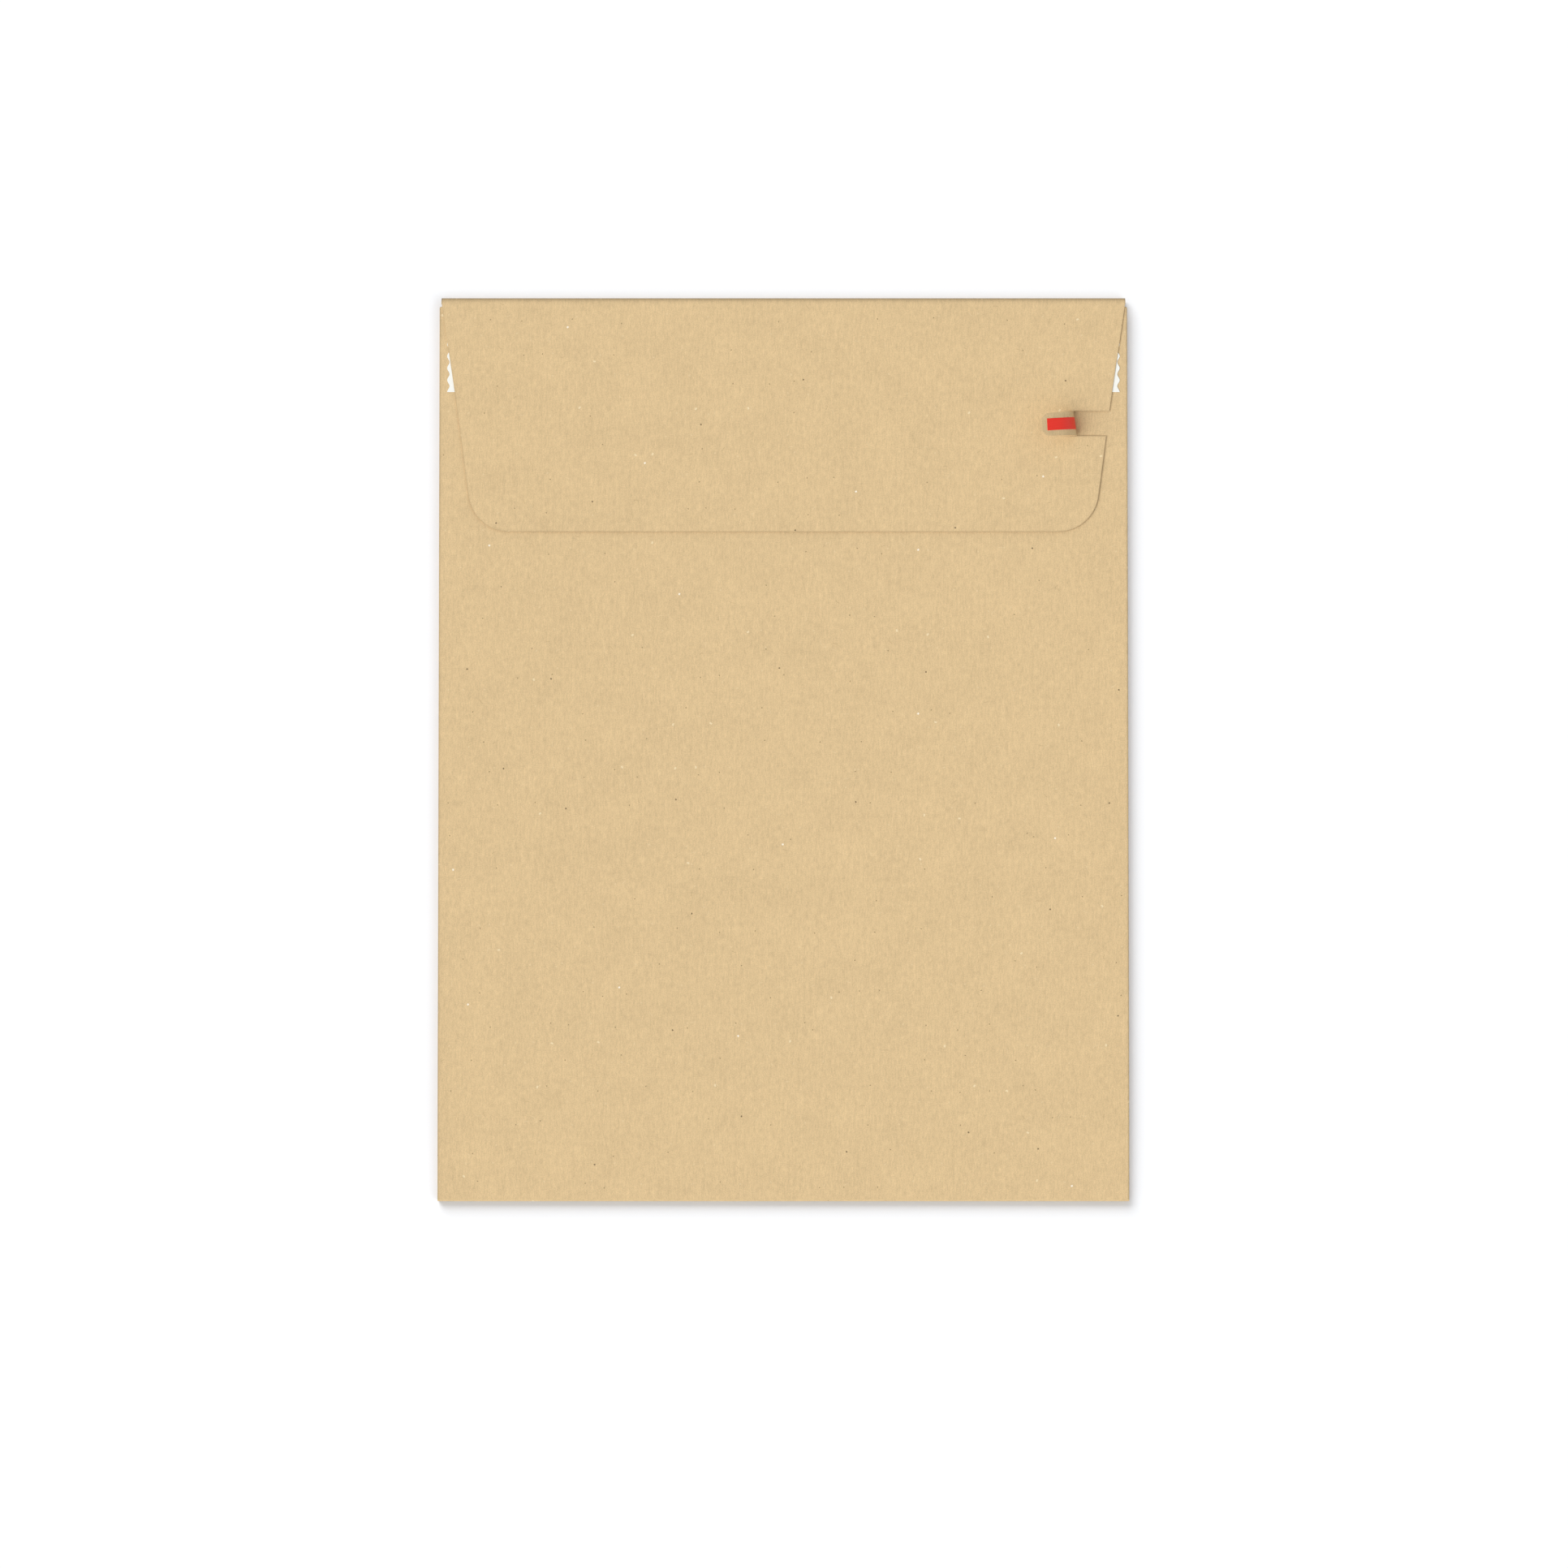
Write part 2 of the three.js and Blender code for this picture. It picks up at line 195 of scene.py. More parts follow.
@dataclass(frozen=True)
class Places:
    """Places and sizes read from the frame, and the relief that the upper sheets share.

    Attributes:
        paper: Thickness of the kraft sheet.
        bottom: Y of the bottom crease.
        toe_top: Y where the back panel has come up to its full height.
        mouth: Y where the back panel and the gussets end.
        top: Y of the mouth fold's outer face.
        bottom_half: Half width at the bottom.
        taper: Loss of half width for each metre towards the mouth.
        throat_half: Half width of the mouth fold.
        front_z: Middle of the front panel's thickness.
        heel_z: Middle of the raised heel's thickness.
        back_z: Middle of the back panel's thickness.
        pinch_z: Middle of the back panel's thickness at the bottom crease.
        flap_z: Middle of the flap's thickness.
        heel_start: Y where the heel has stepped up onto the bottom lap.
        heel_end: Y where the front panel lies flat.
        gusset_depth: How far each gusset folds in.
        sheet_pitch: Distance between the middles of two sheets that lie on each other.
        sag: How far the middle of the empty bag sinks.
        ripple: Height of the paper's own waves.
        waves: The waves that add up to the ripple.
        mouth_fade: Way from the top in which the sheets start to sag.
        toe_fade: Way from the bottom in which they start to sag.
        edge_fade: Way from a side in which the ripple grows to its full height.
        toe_knee: Power of the curve in which the back panel comes down over the toe.
        corner: Size of the cut corners at the mouth.
        corner_roundness: Share of a quarter circle that a cut corner has.
        corner_points: Points on a cut corner.
        inset: How far the paper at the throat stays inside the frame's outline.
        crease_radius: Radius of the bottom crease's two bends, to the middle of the sheet.
    """

    paper: float
    bottom: float
    toe_top: float
    mouth: float
    top: float
    bottom_half: float
    taper: float
    throat_half: float
    front_z: float
    heel_z: float
    back_z: float
    pinch_z: float
    flap_z: float
    heel_start: float
    heel_end: float
    gusset_depth: float
    sheet_pitch: float
    sag: float = 1.1 * MM
    ripple: float = 0.07 * MM
    waves: tuple[Wave, ...] = (
        Wave(across=31 * MM, along=57 * MM, phase=0.0),
        Wave(across=47 * MM, along=-38 * MM, phase=1.7),
        Wave(across=23 * MM, along=90 * MM, phase=0.6),
    )
    mouth_fade: float = 110 * MM
    toe_fade: float = 120 * MM
    edge_fade: float = 40 * MM
    toe_knee: float = 1.6
    corner: float = 0.9 * MM
    corner_roundness: float = 0.96
    corner_points: int = 5
    inset: float = 0.3 * MM
    crease_radius: float = 0.8 * MM

    @classmethod
    def from_frame(cls) -> "Places":
        """Reads the places from the frame's boxes.

        Returns:
            The places.
        """
        front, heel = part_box("front_panel"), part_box("front_panel_heel")
        back, toe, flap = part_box("back_panel"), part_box("back_panel_toe"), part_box("flap_upper")
        lap, fold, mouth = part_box("bottom_lap"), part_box("bottom_fold"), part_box("mouth_fold")
        lower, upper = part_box("right_gusset_lower"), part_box("right_gusset_upper")
        paper = back[1].z - back[0].z
        joggle = 3 * MM
        return cls(
            paper=paper,
            bottom=lap[0].y,
            toe_top=back[0].y,
            mouth=back[1].y,
            top=mouth[1].y,
            bottom_half=fold[1].x,
            taper=(fold[1].x - back[1].x) / (back[0].y - lap[0].y),
            throat_half=mouth[1].x - cls.inset,
            front_z=front[0].z + paper / 2,
            heel_z=heel[1].z - paper / 2,
            back_z=back[0].z + paper / 2,
            pinch_z=toe[0].z + paper / 2,
            flap_z=flap[0].z + paper / 2,
            heel_start=front[0].y - joggle,
            heel_end=front[0].y,
            gusset_depth=back[1].x - upper[0].x,
            sheet_pitch=lower[0].z - front[0].z,
        )

    def half_width(self, y: Array | float) -> Array | float:
        """Half of the bag's width, with its corners cut round at the mouth.

        Args:
            y: Places along the bag.

        Returns:
            The half width at each.
        """
        into = np.clip((y - self.mouth + self.corner) / self.corner, 0, 1)
        loss = self.corner * (1 - np.sqrt(1 - self.corner_roundness * into**2))
        return self.bottom_half - self.taper * (y - self.bottom) - loss

    def to_mouth(self, start: float, spacing: float) -> Array:
        """Places from start to the mouth, closer together at its cut corners.

        Args:
            start: The first place.
            spacing: Distance between places before the corners.

        Returns:
            The places along the bag.
        """
        turn = np.linspace(0, math.pi / 2, self.corner_points)
        rounded = self.mouth - self.corner * np.cos(turn)
        return np.concatenate([steps(start, rounded[0], spacing), rounded[1:]])

    def heel_rows(self, spacing: float, heel_spacing: float) -> Array:
        """Places from the bottom crease to the mouth, closer together at the heel.

        Args:
            spacing: Distance between places.
            heel_spacing: The same where the heel steps up.

        Returns:
            The places along the bag.
        """
        return np.concatenate([
            steps(self.inside, self.heel_start, spacing)[:-1],
            steps(self.heel_start, self.heel_end, heel_spacing)[:-1],
            self.to_mouth(self.heel_end, spacing),
        ])

    def side_curl(self, y: Array, count: int) -> tuple[Array, Array, Array]:
        """A side crease that curls through half a turn.

        Args:
            y: Places along the bag, as a column.
            count: Steps round the crease.

        Returns:
            Half width of the flat part, distances across of the curl's points, and their rises.
        """
        turn = np.linspace(0, math.pi, count + 1)[1:]
        flat = self.half_width(y) - self.curl - self.paper / 2
        return flat, flat + self.curl * np.sin(turn), self.curl * (1 - np.cos(turn))

    def relief(self, x: Array, y: Array) -> Array:
        """How far the upper sheets lie above or below their plain height.

        Args:
            x: Places across the bag.
            y: Places along the bag.

        Returns:
            The height to add: a slack middle, and long shallow waves of the paper.
        """
        across = 1 - smooth(np.abs(x) / self.bottom_half)
        from_mouth = smooth((self.top - y) / self.mouth_fade)
        from_toe = smooth((y - self.bottom) / self.toe_fade)
        ripple = self.ripple * sum(wave.height(x, y) for wave in self.waves)
        held = smooth((self.bottom_half - np.abs(x)) / self.edge_fade) * from_mouth * from_toe
        return -self.sag * across * from_mouth * from_toe + ripple * held

    def front(self, y: Array) -> Array:
        """Middle of the front panel's thickness at y, stepped up over the bottom lap."""
        share = smooth((self.heel_end - y) / (self.heel_end - self.heel_start))
        return self.front_z + (self.heel_z - self.front_z) * share

    def back(self, y: Array) -> Array:
        """Middle of the back panel's thickness at y without relief, coming down over the toe."""
        share = np.clip((self.toe_top - y) / (self.toe_top - self.crease_y), 0, 1)
        return self.back_z - (self.back_z - self.pinch_z) * share**self.toe_knee

    @property
    def crease_y(self) -> float:
        """Y of the centres of the bottom crease's two bends."""
        return self.bottom + self.paper / 2 + self.crease_radius

    @property
    def inside(self) -> float:
        """Y where the sheets inside the bottom crease start."""
        clearance = 0.15 * MM
        return self.bottom + self.paper + clearance

    @property
    def curl(self) -> float:
        """Radius of a side crease, to the middle of the sheet."""
        return self.sheet_pitch / 2


class Nodes:
    """A node tree under construction.

    Attributes:
        prefix: What the types of its nodes start with.
        others: The same for the kinds of node that start otherwise.
        tree: The node tree.
    """

    prefix: str = "ShaderNode"
    others: dict[str, str] = {}

    def __init__(self, tree: bpy.types.NodeTree) -> None:
        """Takes the node tree to build in."""
        self.tree = tree

    def node(self, kind: str, inputs: dict | None = None, **settings: object) -> bpy.types.Node:
        """Adds a node.

        Args:
            kind: The node's type without its prefix.
            inputs: Values or sockets for its inputs, by name or number.
            **settings: Properties of the node.

        Returns:
            The new node.
        """
        made = self.tree.nodes.new(self.others.get(kind, self.prefix) + kind)
        for key, value in settings.items():
            setattr(made, key, value)
        for key, value in (inputs or {}).items():
            self.feed(made.inputs[key], value)
        return made

    def feed(self, socket: Socket, value: object) -> None:
        """Links a socket to another, or sets its value.

        Args:
            socket: The input.
            value: A value, or the output that feeds it.
        """
        if isinstance(value, bpy.types.NodeSocket):
            self.tree.links.new(value, socket)
        else:
            socket.default_value = value

    def math(self, operation: str, *values: object, clamp: bool = False) -> Socket:
        """A Math node's result for up to three values."""
        inputs = dict(enumerate(values))
        return self.node("Math", inputs, operation=operation, use_clamp=clamp).outputs[0]


class Shading(Nodes):
    """A material under construction, with short calls for the nodes that finishes share.

    Attributes:
        material: The material.
        shader: Its Principled shader.
    """

    def __init__(self, name: str) -> None:
        """Starts a material with a Principled shader.

        Args:
            name: The material's name.
        """
        self.material = bpy.data.materials.new(name)
        self.material.use_nodes = True
        super().__init__(self.material.node_tree)
        self.shader = self.tree.nodes["Principled BSDF"]

    def stretch(self, where: Socket, x: float, y: float, z: float) -> Socket:
        """Coordinates multiplied along each axis."""
        made = self.node("VectorMath", {0: where, 1: (x, y, z)}, operation="MULTIPLY")
        return made.outputs[0]

    def total(self, *parts: tuple[Socket, float]) -> Socket:
        """Adds weighted parts to 1.

        Args:
            *parts: Each part with its weight.

        Returns:
            The sum.
        """
        value: object = 1.0
        for part, weight in parts:
            value = self.math("MULTIPLY_ADD", part, weight, value)
        return value

    def tint(self, color: object, factor: Socket) -> Socket:
        """A colour made lighter or darker by a factor."""
        made = self.node("VectorMath", {0: color, "Scale": factor}, operation="SCALE")
        return made.outputs[0]

    def mix(self, share: object, low: object, high: object) -> Socket:
        """Blends two colours.

        Args:
            share: Share of the second colour, a value or a socket.
            low: The first colour.
            high: The second colour.

        Returns:
            The blended colour.
        """
        made = self.node("Mix", data_type="RGBA")
        self.feed(made.inputs[0], share)
        for socket, value in ((made.inputs[6], low), (made.inputs[7], high)):
            self.feed(socket, (*value, 1.0) if isinstance(value, tuple) else value)
        return made.outputs[2]

    def fade(self, value: Socket, inner: float, outer: float) -> Socket:
        """1 where a distance is below inner, 0 past outer."""
        inputs = {"Value": value, 1: inner, 2: outer, 3: 1.0, 4: 0.0}
        return self.node("MapRange", inputs, interpolation_type="SMOOTHSTEP").outputs[0]

    def attribute(self, name: str, output: str) -> Socket:
        """A piece's own attribute."""
        return self.node("Attribute", attribute_name=name).outputs[output]

    def bump(self, height: Socket, distance: float, strength: float) -> None:
        """Roughens the shader's normals by a height."""
        inputs = {"Height": height, "Distance": distance, "Strength": strength}
        self.feed(self.shader.inputs["Normal"], self.node("Bump", inputs).outputs[0])

    def set(self, **values: object) -> bpy.types.Material:
        """Sets the shader's inputs.

        Args:
            **values: Values or sockets by the input's name, with _ for a space.

        Returns:
            The material.
        """
        for key, value in values.items():
            if isinstance(value, tuple) and len(value) == 3:
                value = (*value, 1.0)
            self.feed(self.shader.inputs[key.replace("_", " ")], value)
        return self.material


@dataclass(frozen=True)
class Grain:
    """One scale of mottling in a finish.

    Attributes:
        size: Size of its features.
        weight: How much it lightens and darkens the finish.
        detail: Number of finer layers in it.
        stretch: Factors on the coordinates, below 1 where the features are drawn out.
        falloff: Strength of each finer layer beside the one before.
    """

    size: float
    weight: float = 1.0
    detail: float = 2.0
    stretch: Triple | None = None
    falloff: float = 0.55

    def noise(self, shading: Shading, where: Socket) -> Socket:
        """Soft noise of this grain.

        Args:
            shading: The material under construction.
            where: Coordinates.

        Returns:
            The noise around 0, from about -0.5 to 0.5.
        """
        drawn = shading.stretch(where, *self.stretch) if self.stretch else where
        made = shading.node(
            "TexNoise",
            {"Vector": drawn, "Scale": 1 / self.size, "Detail": self.detail,
             "Roughness": self.falloff},
            noise_dimensions="3D",
        )
        return shading.math("SUBTRACT", made.outputs["Fac"], 0.5)


@dataclass(frozen=True)
class Tooth:
    """Roughness of a surface, too fine to be a shape.

    Attributes:
        depth: Height of its bumps.
        strength: How strongly they turn the light.
        roughness: Mean roughness of the finish.
        spread: How much the roughness varies with the mottling.
    """

    depth: float
    strength: float
    roughness: float
    spread: float

    def roughen(self, shading: Shading, height: Socket, mottling: Socket) -> Socket:
        """Bumps the shader by a height, and gives the roughness that goes with a mottling."""
        shading.bump(height, self.depth, self.strength)
        return shading.math("MULTIPLY_ADD", mottling, self.spread, self.roughness)


@dataclass(frozen=True)
class Fleck:
    """Small marks that lie scattered in the paper, one at most in each cell.

    Attributes:
        cell: Size of a cell.
        length: Half of a mark's length.
        width: Half of a mark's width.
        share: Share of the cells that have a mark.
        color: The mark's colour.
        strength: How much of its colour shows.
        seed: Shift that sets these marks apart from others.
        bow: How far a mark's ends bend aside, as a share of its half length.
        long_core: Share of its length over which a mark is full.
        wide_core: Share of its width over which a mark is full.
        scatter: How irregularly the cells lie, from 0 to 1.
    """

    cell: float
    length: float
    width: float
    share: float
    color: Color
    strength: float
    seed: float
    bow: float = 0.25
    long_core: float = 0.6
    wide_core: float = 0.5
    scatter: float = 0.9

    def mask(self, shading: Shading, where: Socket) -> Socket:
        """Where the marks lie.

        Args:
            shading: The material under construction.
            where: Flat coordinates of the sheet.

        Returns:
            The marks' strength at each place.
        """
        shift = (self.seed, self.seed / 2, 0.0)
        moved = shading.node("VectorMath", {0: where, 1: shift}, operation="ADD").outputs[0]
        cells = shading.node(
            "TexVoronoi",
            {"Vector": moved, "Scale": 1 / self.cell, "Randomness": self.scatter},
            voronoi_dimensions="2D",
        )
        ends = {0: moved, 1: cells.outputs["Position"]}
        local = shading.node("VectorMath", ends, operation="SUBTRACT")
        parts = shading.node("SeparateColor", {0: cells.outputs["Color"]})
        angle = shading.math("MULTIPLY", parts.outputs[0], math.tau)
        turned = shading.node(
            "VectorRotate", {"Vector": local.outputs[0], "Angle": angle}, rotation_type="Z_AXIS"
        )
        place = shading.node("SeparateXYZ", {0: turned.outputs[0]})
        along = shading.math("ABSOLUTE", place.outputs[0])
        bowed = shading.math("MULTIPLY", place.outputs[0], place.outputs[0])
        bend = shading.math("MULTIPLY_ADD", bowed, self.bow / self.length, place.outputs[1])
        across = shading.math("ABSOLUTE", bend)
        body = shading.math(
            "MULTIPLY",
            shading.fade(along, self.length * self.long_core, self.length),
            shading.fade(across, self.width * self.wide_core, self.width),
        )
        chosen = shading.math("LESS_THAN", parts.outputs[1], self.share)
        return shading.math("MULTIPLY", shading.math("MULTIPLY", body, chosen), self.strength)


@dataclass(frozen=True)
class KraftFinish:
    """Recycled brown kraft: mottled, with fibres, pale and dark flecks and a paper tooth.

    Attributes:
        name: The material's name.
        color: Plain colour of the paper.
        worn: Colour of a rubbed crease.
        fine: Mottling of the single fibres.
        upright: Fibres that lie along the sheet.
        felt: Marks of the felt that the sheet was pressed on.
        streaks: Streaks along the sheet.
        clouds: Uneven stock.
        shade_depth: How much darker painted shade makes the paper where it is strongest.
        rubbing: How much the single fibres break up the rubbed colour.
        rubbed_level: Share of the rubbed colour on a fully rubbed place.
        upright_tooth: Height of the upright fibres beside that of the single ones.
        tooth: Roughness of the paper.
        shine: Specular level.
        flecks: Marks scattered in the paper.
    """

    name: str = "kraft_paper"
    color: Color = linear(220.6, 192.4, 146.4)
    worn: Color = linear(226, 200, 147)
    fine: Grain = Grain(size=0.55 * MM, weight=0.5, detail=3.0)
    upright: Grain = Grain(size=0.7 * MM, weight=0.3, stretch=(1.0, 0.22, 1.0))
    felt: Grain = Grain(size=3.2 * MM, weight=0.22, detail=3.0)
    streaks: Grain = Grain(size=1.6 * MM, weight=0.18, stretch=(1.0, 0.14, 1.0))
    clouds: Grain = Grain(size=21 * MM, weight=0.13)
    shade_depth: float = 0.3
    rubbing: float = 1.4
    rubbed_level: float = 0.55
    upright_tooth: float = 0.8
    tooth: Tooth = Tooth(depth=0.03 * MM, strength=0.35, roughness=0.82, spread=0.12)
    shine: float = 0.32
    flecks: tuple[Fleck, ...] = (
        Fleck(cell=23 * MM, length=0.8 * MM, width=0.55 * MM, share=0.16,
              color=linear(245, 226, 186), strength=0.75, seed=0.3),
        Fleck(cell=10 * MM, length=0.6 * MM, width=0.45 * MM, share=0.25,
              color=linear(234, 210, 166), strength=0.5, seed=1.1),
        Fleck(cell=16 * MM, length=0.4 * MM, width=0.3 * MM, share=0.3,
              color=linear(130, 108, 74), strength=0.75, seed=2.3),
        Fleck(cell=26 * MM, length=1.4 * MM, width=0.16 * MM, share=0.4,
              color=linear(165, 136, 94), strength=0.4, seed=3.7),
        Fleck(cell=17 * MM, length=1.6 * MM, width=0.16 * MM, share=0.35,
              color=linear(236, 213, 171), strength=0.45, seed=4.9),
        Fleck(cell=75 * MM, length=0.6 * MM, width=0.55 * MM, share=0.45,
              color=linear(255, 244, 224), strength=0.95, seed=5.7),
        Fleck(cell=60 * MM, length=0.5 * MM, width=0.45 * MM, share=0.5,
              color=linear(112, 94, 68), strength=0.95, seed=6.3),
    )

    def make(self) -> bpy.types.Material:
        """Builds the material.

        Returns:
            The material.
        """
        shading = Shading(self.name)
        flat = shading.attribute("flat", "Vector")
        grains = (self.fine, self.upright, self.felt, self.streaks, self.clouds)
        noises = [grain.noise(shading, flat) for grain in grains]
        fine, upright, felt = noises[:3]
        weighted = zip(noises, (grain.weight for grain in grains))
        color = shading.tint(self.color, shading.total(*weighted))
        wear_and_shade = shading.attribute("wear_and_shade", "Fac")
        color = self.rub(shading, color, wear_and_shade, fine)
        # Below 0 the wear attribute holds painted shade along folds, sides and cut edges, which
        # darkens the paper.
        painted_shade = shading.math("MINIMUM", wear_and_shade, 0.0)
        color = shading.tint(color, shading.math("MULTIPLY_ADD", painted_shade, self.shade_depth, 1.0))
        for fleck in self.flecks:
            color = shading.mix(fleck.mask(shading, flat), color, fleck.color)
        height = shading.math("ADD", fine, shading.math("MULTIPLY", upright, self.upright_tooth))
        rough = self.tooth.roughen(shading, height, felt)
        return shading.set(Base_Color=color, Roughness=rough, Specular_IOR_Level=self.shine)

    def rub(self, shading: Shading, color: Socket, wear_and_shade: Socket, fine: Socket) -> Socket:
        """Lightens the paper where it is rubbed.

        Args:
            shading: The material under construction.
            color: The paper's colour.
            wear_and_shade: How rubbed it is, up to 1; below 0 it holds painted shade instead, which
                this leaves alone.
            fine: Mottling of the single fibres.

        Returns:
            The new colour.
        """
        broken = shading.math("MULTIPLY_ADD", fine, self.rubbing, self.rubbed_level)
        rubbed = shading.math("MULTIPLY", wear_and_shade, broken)
        return shading.mix(shading.math("MAXIMUM", rubbed, 0.0), color, self.worn)


@dataclass(frozen=True)
class ReleaseFinish:
    """White release paper with a silicone coat, faintly clouded.

    Attributes:
        name: The material's name.
        color: Colour of the paper.
        clouds: Uneven coat.
        fibres: Fibres along the strip.
        tooth: Roughness of the coat.
    """

    name: str = "release_paper"
    color: Color = linear(248, 248, 241)
    clouds: Grain = Grain(size=6 * MM, weight=0.035, detail=3.0)
    fibres: Grain = Grain(size=0.5 * MM, weight=0.03, stretch=(0.3, 1.0, 1.0))
    tooth: Tooth = Tooth(depth=0.01 * MM, strength=0.25, roughness=0.42, spread=0.2)

    def make(self) -> bpy.types.Material:
        """Builds the material.

        Returns:
            The material.
        """
        shading = Shading(self.name)
        where = shading.node("TexCoord").outputs["Object"]
        clouds = self.clouds.noise(shading, where)
        fibres = self.fibres.noise(shading, where)
        factor = shading.total((clouds, self.clouds.weight), (fibres, self.fibres.weight))
        rough = self.tooth.roughen(shading, fibres, clouds)
        return shading.set(Base_Color=shading.tint(self.color, factor), Roughness=rough)


@dataclass(frozen=True)
class TapeFinish:
    """Red polyester tear tape, drawn along its length.

    Attributes:
        name: The material's name.
        color: Colour of the tape.
        deep: Deeper colour that mottles it.
        deep_share: Mean share of the deeper colour.
        drawn: Lines along the tape.
        specks: Fine specks.
        tooth: Roughness of the tape.
        shine: Specular level.
    """

    name: str = "tear_tape"
    color: Color = linear(251, 62, 48)
    deep: Color = linear(238, 48, 36)
    deep_share: float = 0.35
    drawn: Grain = Grain(size=0.6 * MM, detail=3.0, stretch=(0.06, 1.0, 1.0))
    specks: Grain = Grain(size=0.35 * MM)
    tooth: Tooth = Tooth(depth=0.01 * MM, strength=0.3, roughness=0.42, spread=0.25)
    shine: float = 0.25

    def make(self) -> bpy.types.Material:
        """Builds the material.

        Returns:
            The material.
        """
        shading = Shading(self.name)
        where = shading.attribute("flat", "Vector")
        drawn = self.drawn.noise(shading, where)
        both = shading.math("ADD", drawn, self.specks.noise(shading, where))
        share = shading.math("ADD", both, self.deep_share, clamp=True)
        rough = self.tooth.roughen(shading, drawn, drawn)
        color = shading.mix(share, self.color, self.deep)
        return shading.set(Base_Color=color, Roughness=rough, Specular_IOR_Level=self.shine)


@dataclass(frozen=True)
class AdhesiveFinish:
    """Sticky strip or dried glue: a milky film with lines from the coating nozzle.

    Attributes:
        name: The material's name.
        color: Milky colour of the film.
        clear: Colour where the film is clear.
        tooth: Roughness of the film.
        clear_share: Mean share of the clear colour.
        film: Thick and thin places.
        lines: Lines from the nozzle.
        coat: Weight of the clear coat.
    """

    name: str
    color: Color
    clear: Color
    tooth: Tooth
    clear_share: float = 0.5
    film: Grain = Grain(size=2.4 * MM, detail=3.0)
    lines: Grain = Grain(size=0.8 * MM, stretch=(0.05, 1.0, 1.0))
    coat: float = 0.3

    def make(self) -> bpy.types.Material:
        """Builds the material.

        Returns:
            The material.
        """
        shading = Shading(self.name)
        where = shading.node("TexCoord").outputs["Object"]
        film = self.film.noise(shading, where)
        lines = self.lines.noise(shading, where)
        clear = shading.math("ADD", lines, self.clear_share)
        share = shading.math("ADD", film, clear, clamp=True)
        rough = self.tooth.roughen(shading, shading.math("ADD", film, lines), film)
        color = shading.mix(share, self.color, self.clear)
        return shading.set(Base_Color=color, Roughness=rough, Coat_Weight=self.coat)


@dataclass
class Finishes:
    """The bag's materials, each made once.

    Attributes:
        made: The material of each slot.
    """

    made: dict[Slot, bpy.types.Material] = field(default_factory=dict)

    def __post_init__(self) -> None:
        """Makes every finish."""
        recipes = {
            Slot.KRAFT: KraftFinish(),
            Slot.RELEASE: ReleaseFinish(),
            Slot.TAPE: TapeFinish(),
            Slot.ADHESIVE: AdhesiveFinish(
                name="sticky_strip",
                color=linear(240, 233, 212),
                clear=linear(226, 208, 170),
                tooth=Tooth(depth=0.05 * MM, strength=0.4, roughness=0.24, spread=0.25),
            ),
            Slot.GLUE: AdhesiveFinish(
                name="dried_glue",
                color=linear(232, 219, 186),
                clear=linear(214, 192, 148),
                tooth=Tooth(depth=0.05 * MM, strength=0.4, roughness=0.5, spread=0.25),
            ),
        }
        self.made = {slot: recipe.make() for slot, recipe in recipes.items()}


@dataclass
class Sheet:
    """A thin sheet given by a grid of points on its middle surface.

    Attributes:
        name: Name of the piece.
        points: Grid of points, rows by columns by 3.
        flat: Where each point lies on the unfolded sheet, rows by columns by 2.
        thickness: Thickness of the sheet.
        wear_and_shade: How rubbed each point is, up to 1, or how much painted shade darkens it, down
            to -1, rows by columns.
    """

    name: str
    points: Array
    flat: Array
    thickness: float
    wear_and_shade: Array | None = None

    def build(self) -> bpy.types.Object:
        """Makes a closed mesh of the sheet, as an object at the origin.

        Returns:
            The new object.
        """
        rows, columns = self.points.shape[:2]
        across = np.gradient(self.points, axis=1)
        along = np.gradient(self.points, axis=0)
        normal = np.cross(across, along)
        normal /= np.linalg.norm(normal, axis=2, keepdims=True)
        lift = normal * self.thickness / 2
        corners = np.concatenate([(self.points + lift).reshape(-1, 3),
                                  (self.points - lift).reshape(-1, 3)])
        count = rows * columns
        index = np.arange(count).reshape(rows, columns)
        top = np.stack([index[:-1, :-1], index[:-1, 1:], index[1:, 1:], index[1:, :-1]], axis=2)
        top = top.reshape(-1, 4)
        loop = np.concatenate([index[0, :-1], index[:-1, -1], index[-1, :0:-1], index[:0:-1, 0]])
        after = np.roll(loop, -1)
        rim = np.stack([loop + count, after + count, after, loop], axis=1)
        faces = np.concatenate([top, top[:, ::-1] + count, rim])
        mesh = bpy.data.meshes.new(self.name)
        mesh.from_pydata(corners.tolist(), [], faces.tolist())
        self.paint(mesh)
        return finish_mesh(self.name, mesh)

    def paint(self, mesh: bpy.types.Mesh) -> None:
        """Stores the flat place of each point, and how rubbed it is or how much painted shade darkens
        it, as attributes.

        Args:
            mesh: The mesh of the sheet.
        """
        zeros = np.zeros((*self.flat.shape[:2], 1))
        flat = np.concatenate([self.flat, zeros], axis=2).reshape(-1, 3)
        stored = mesh.attributes.new("flat", "FLOAT_VECTOR", "POINT")
        stored.data.foreach_set("vector", np.tile(flat, (2, 1)).astype(np.float32).ravel())
        wear_and_shade = zeros[:, :, 0] if self.wear_and_shade is None else self.wear_and_shade
        stored = mesh.attributes.new("wear_and_shade", "FLOAT", "POINT")
        stored.data.foreach_set("value", np.tile(wear_and_shade.ravel(), 2).astype(np.float32))


def finish_mesh(name: str, mesh: bpy.types.Mesh) -> bpy.types.Object:
    """Shades a mesh smooth up to its sharp edges and makes its object at the origin.

    Args:
        name: Name of the object.
        mesh: The mesh.

    Returns:
        The new object.
    """
    crisp = math.radians(38)
    mesh.update()
    mesh.polygons.foreach_set("use_smooth", [True] * len(mesh.polygons))
    mesh.set_sharp_from_angle(angle=crisp)
    made = bpy.data.objects.new(name, mesh)
    bpy.context.scene.collection.objects.link(made)
    return made


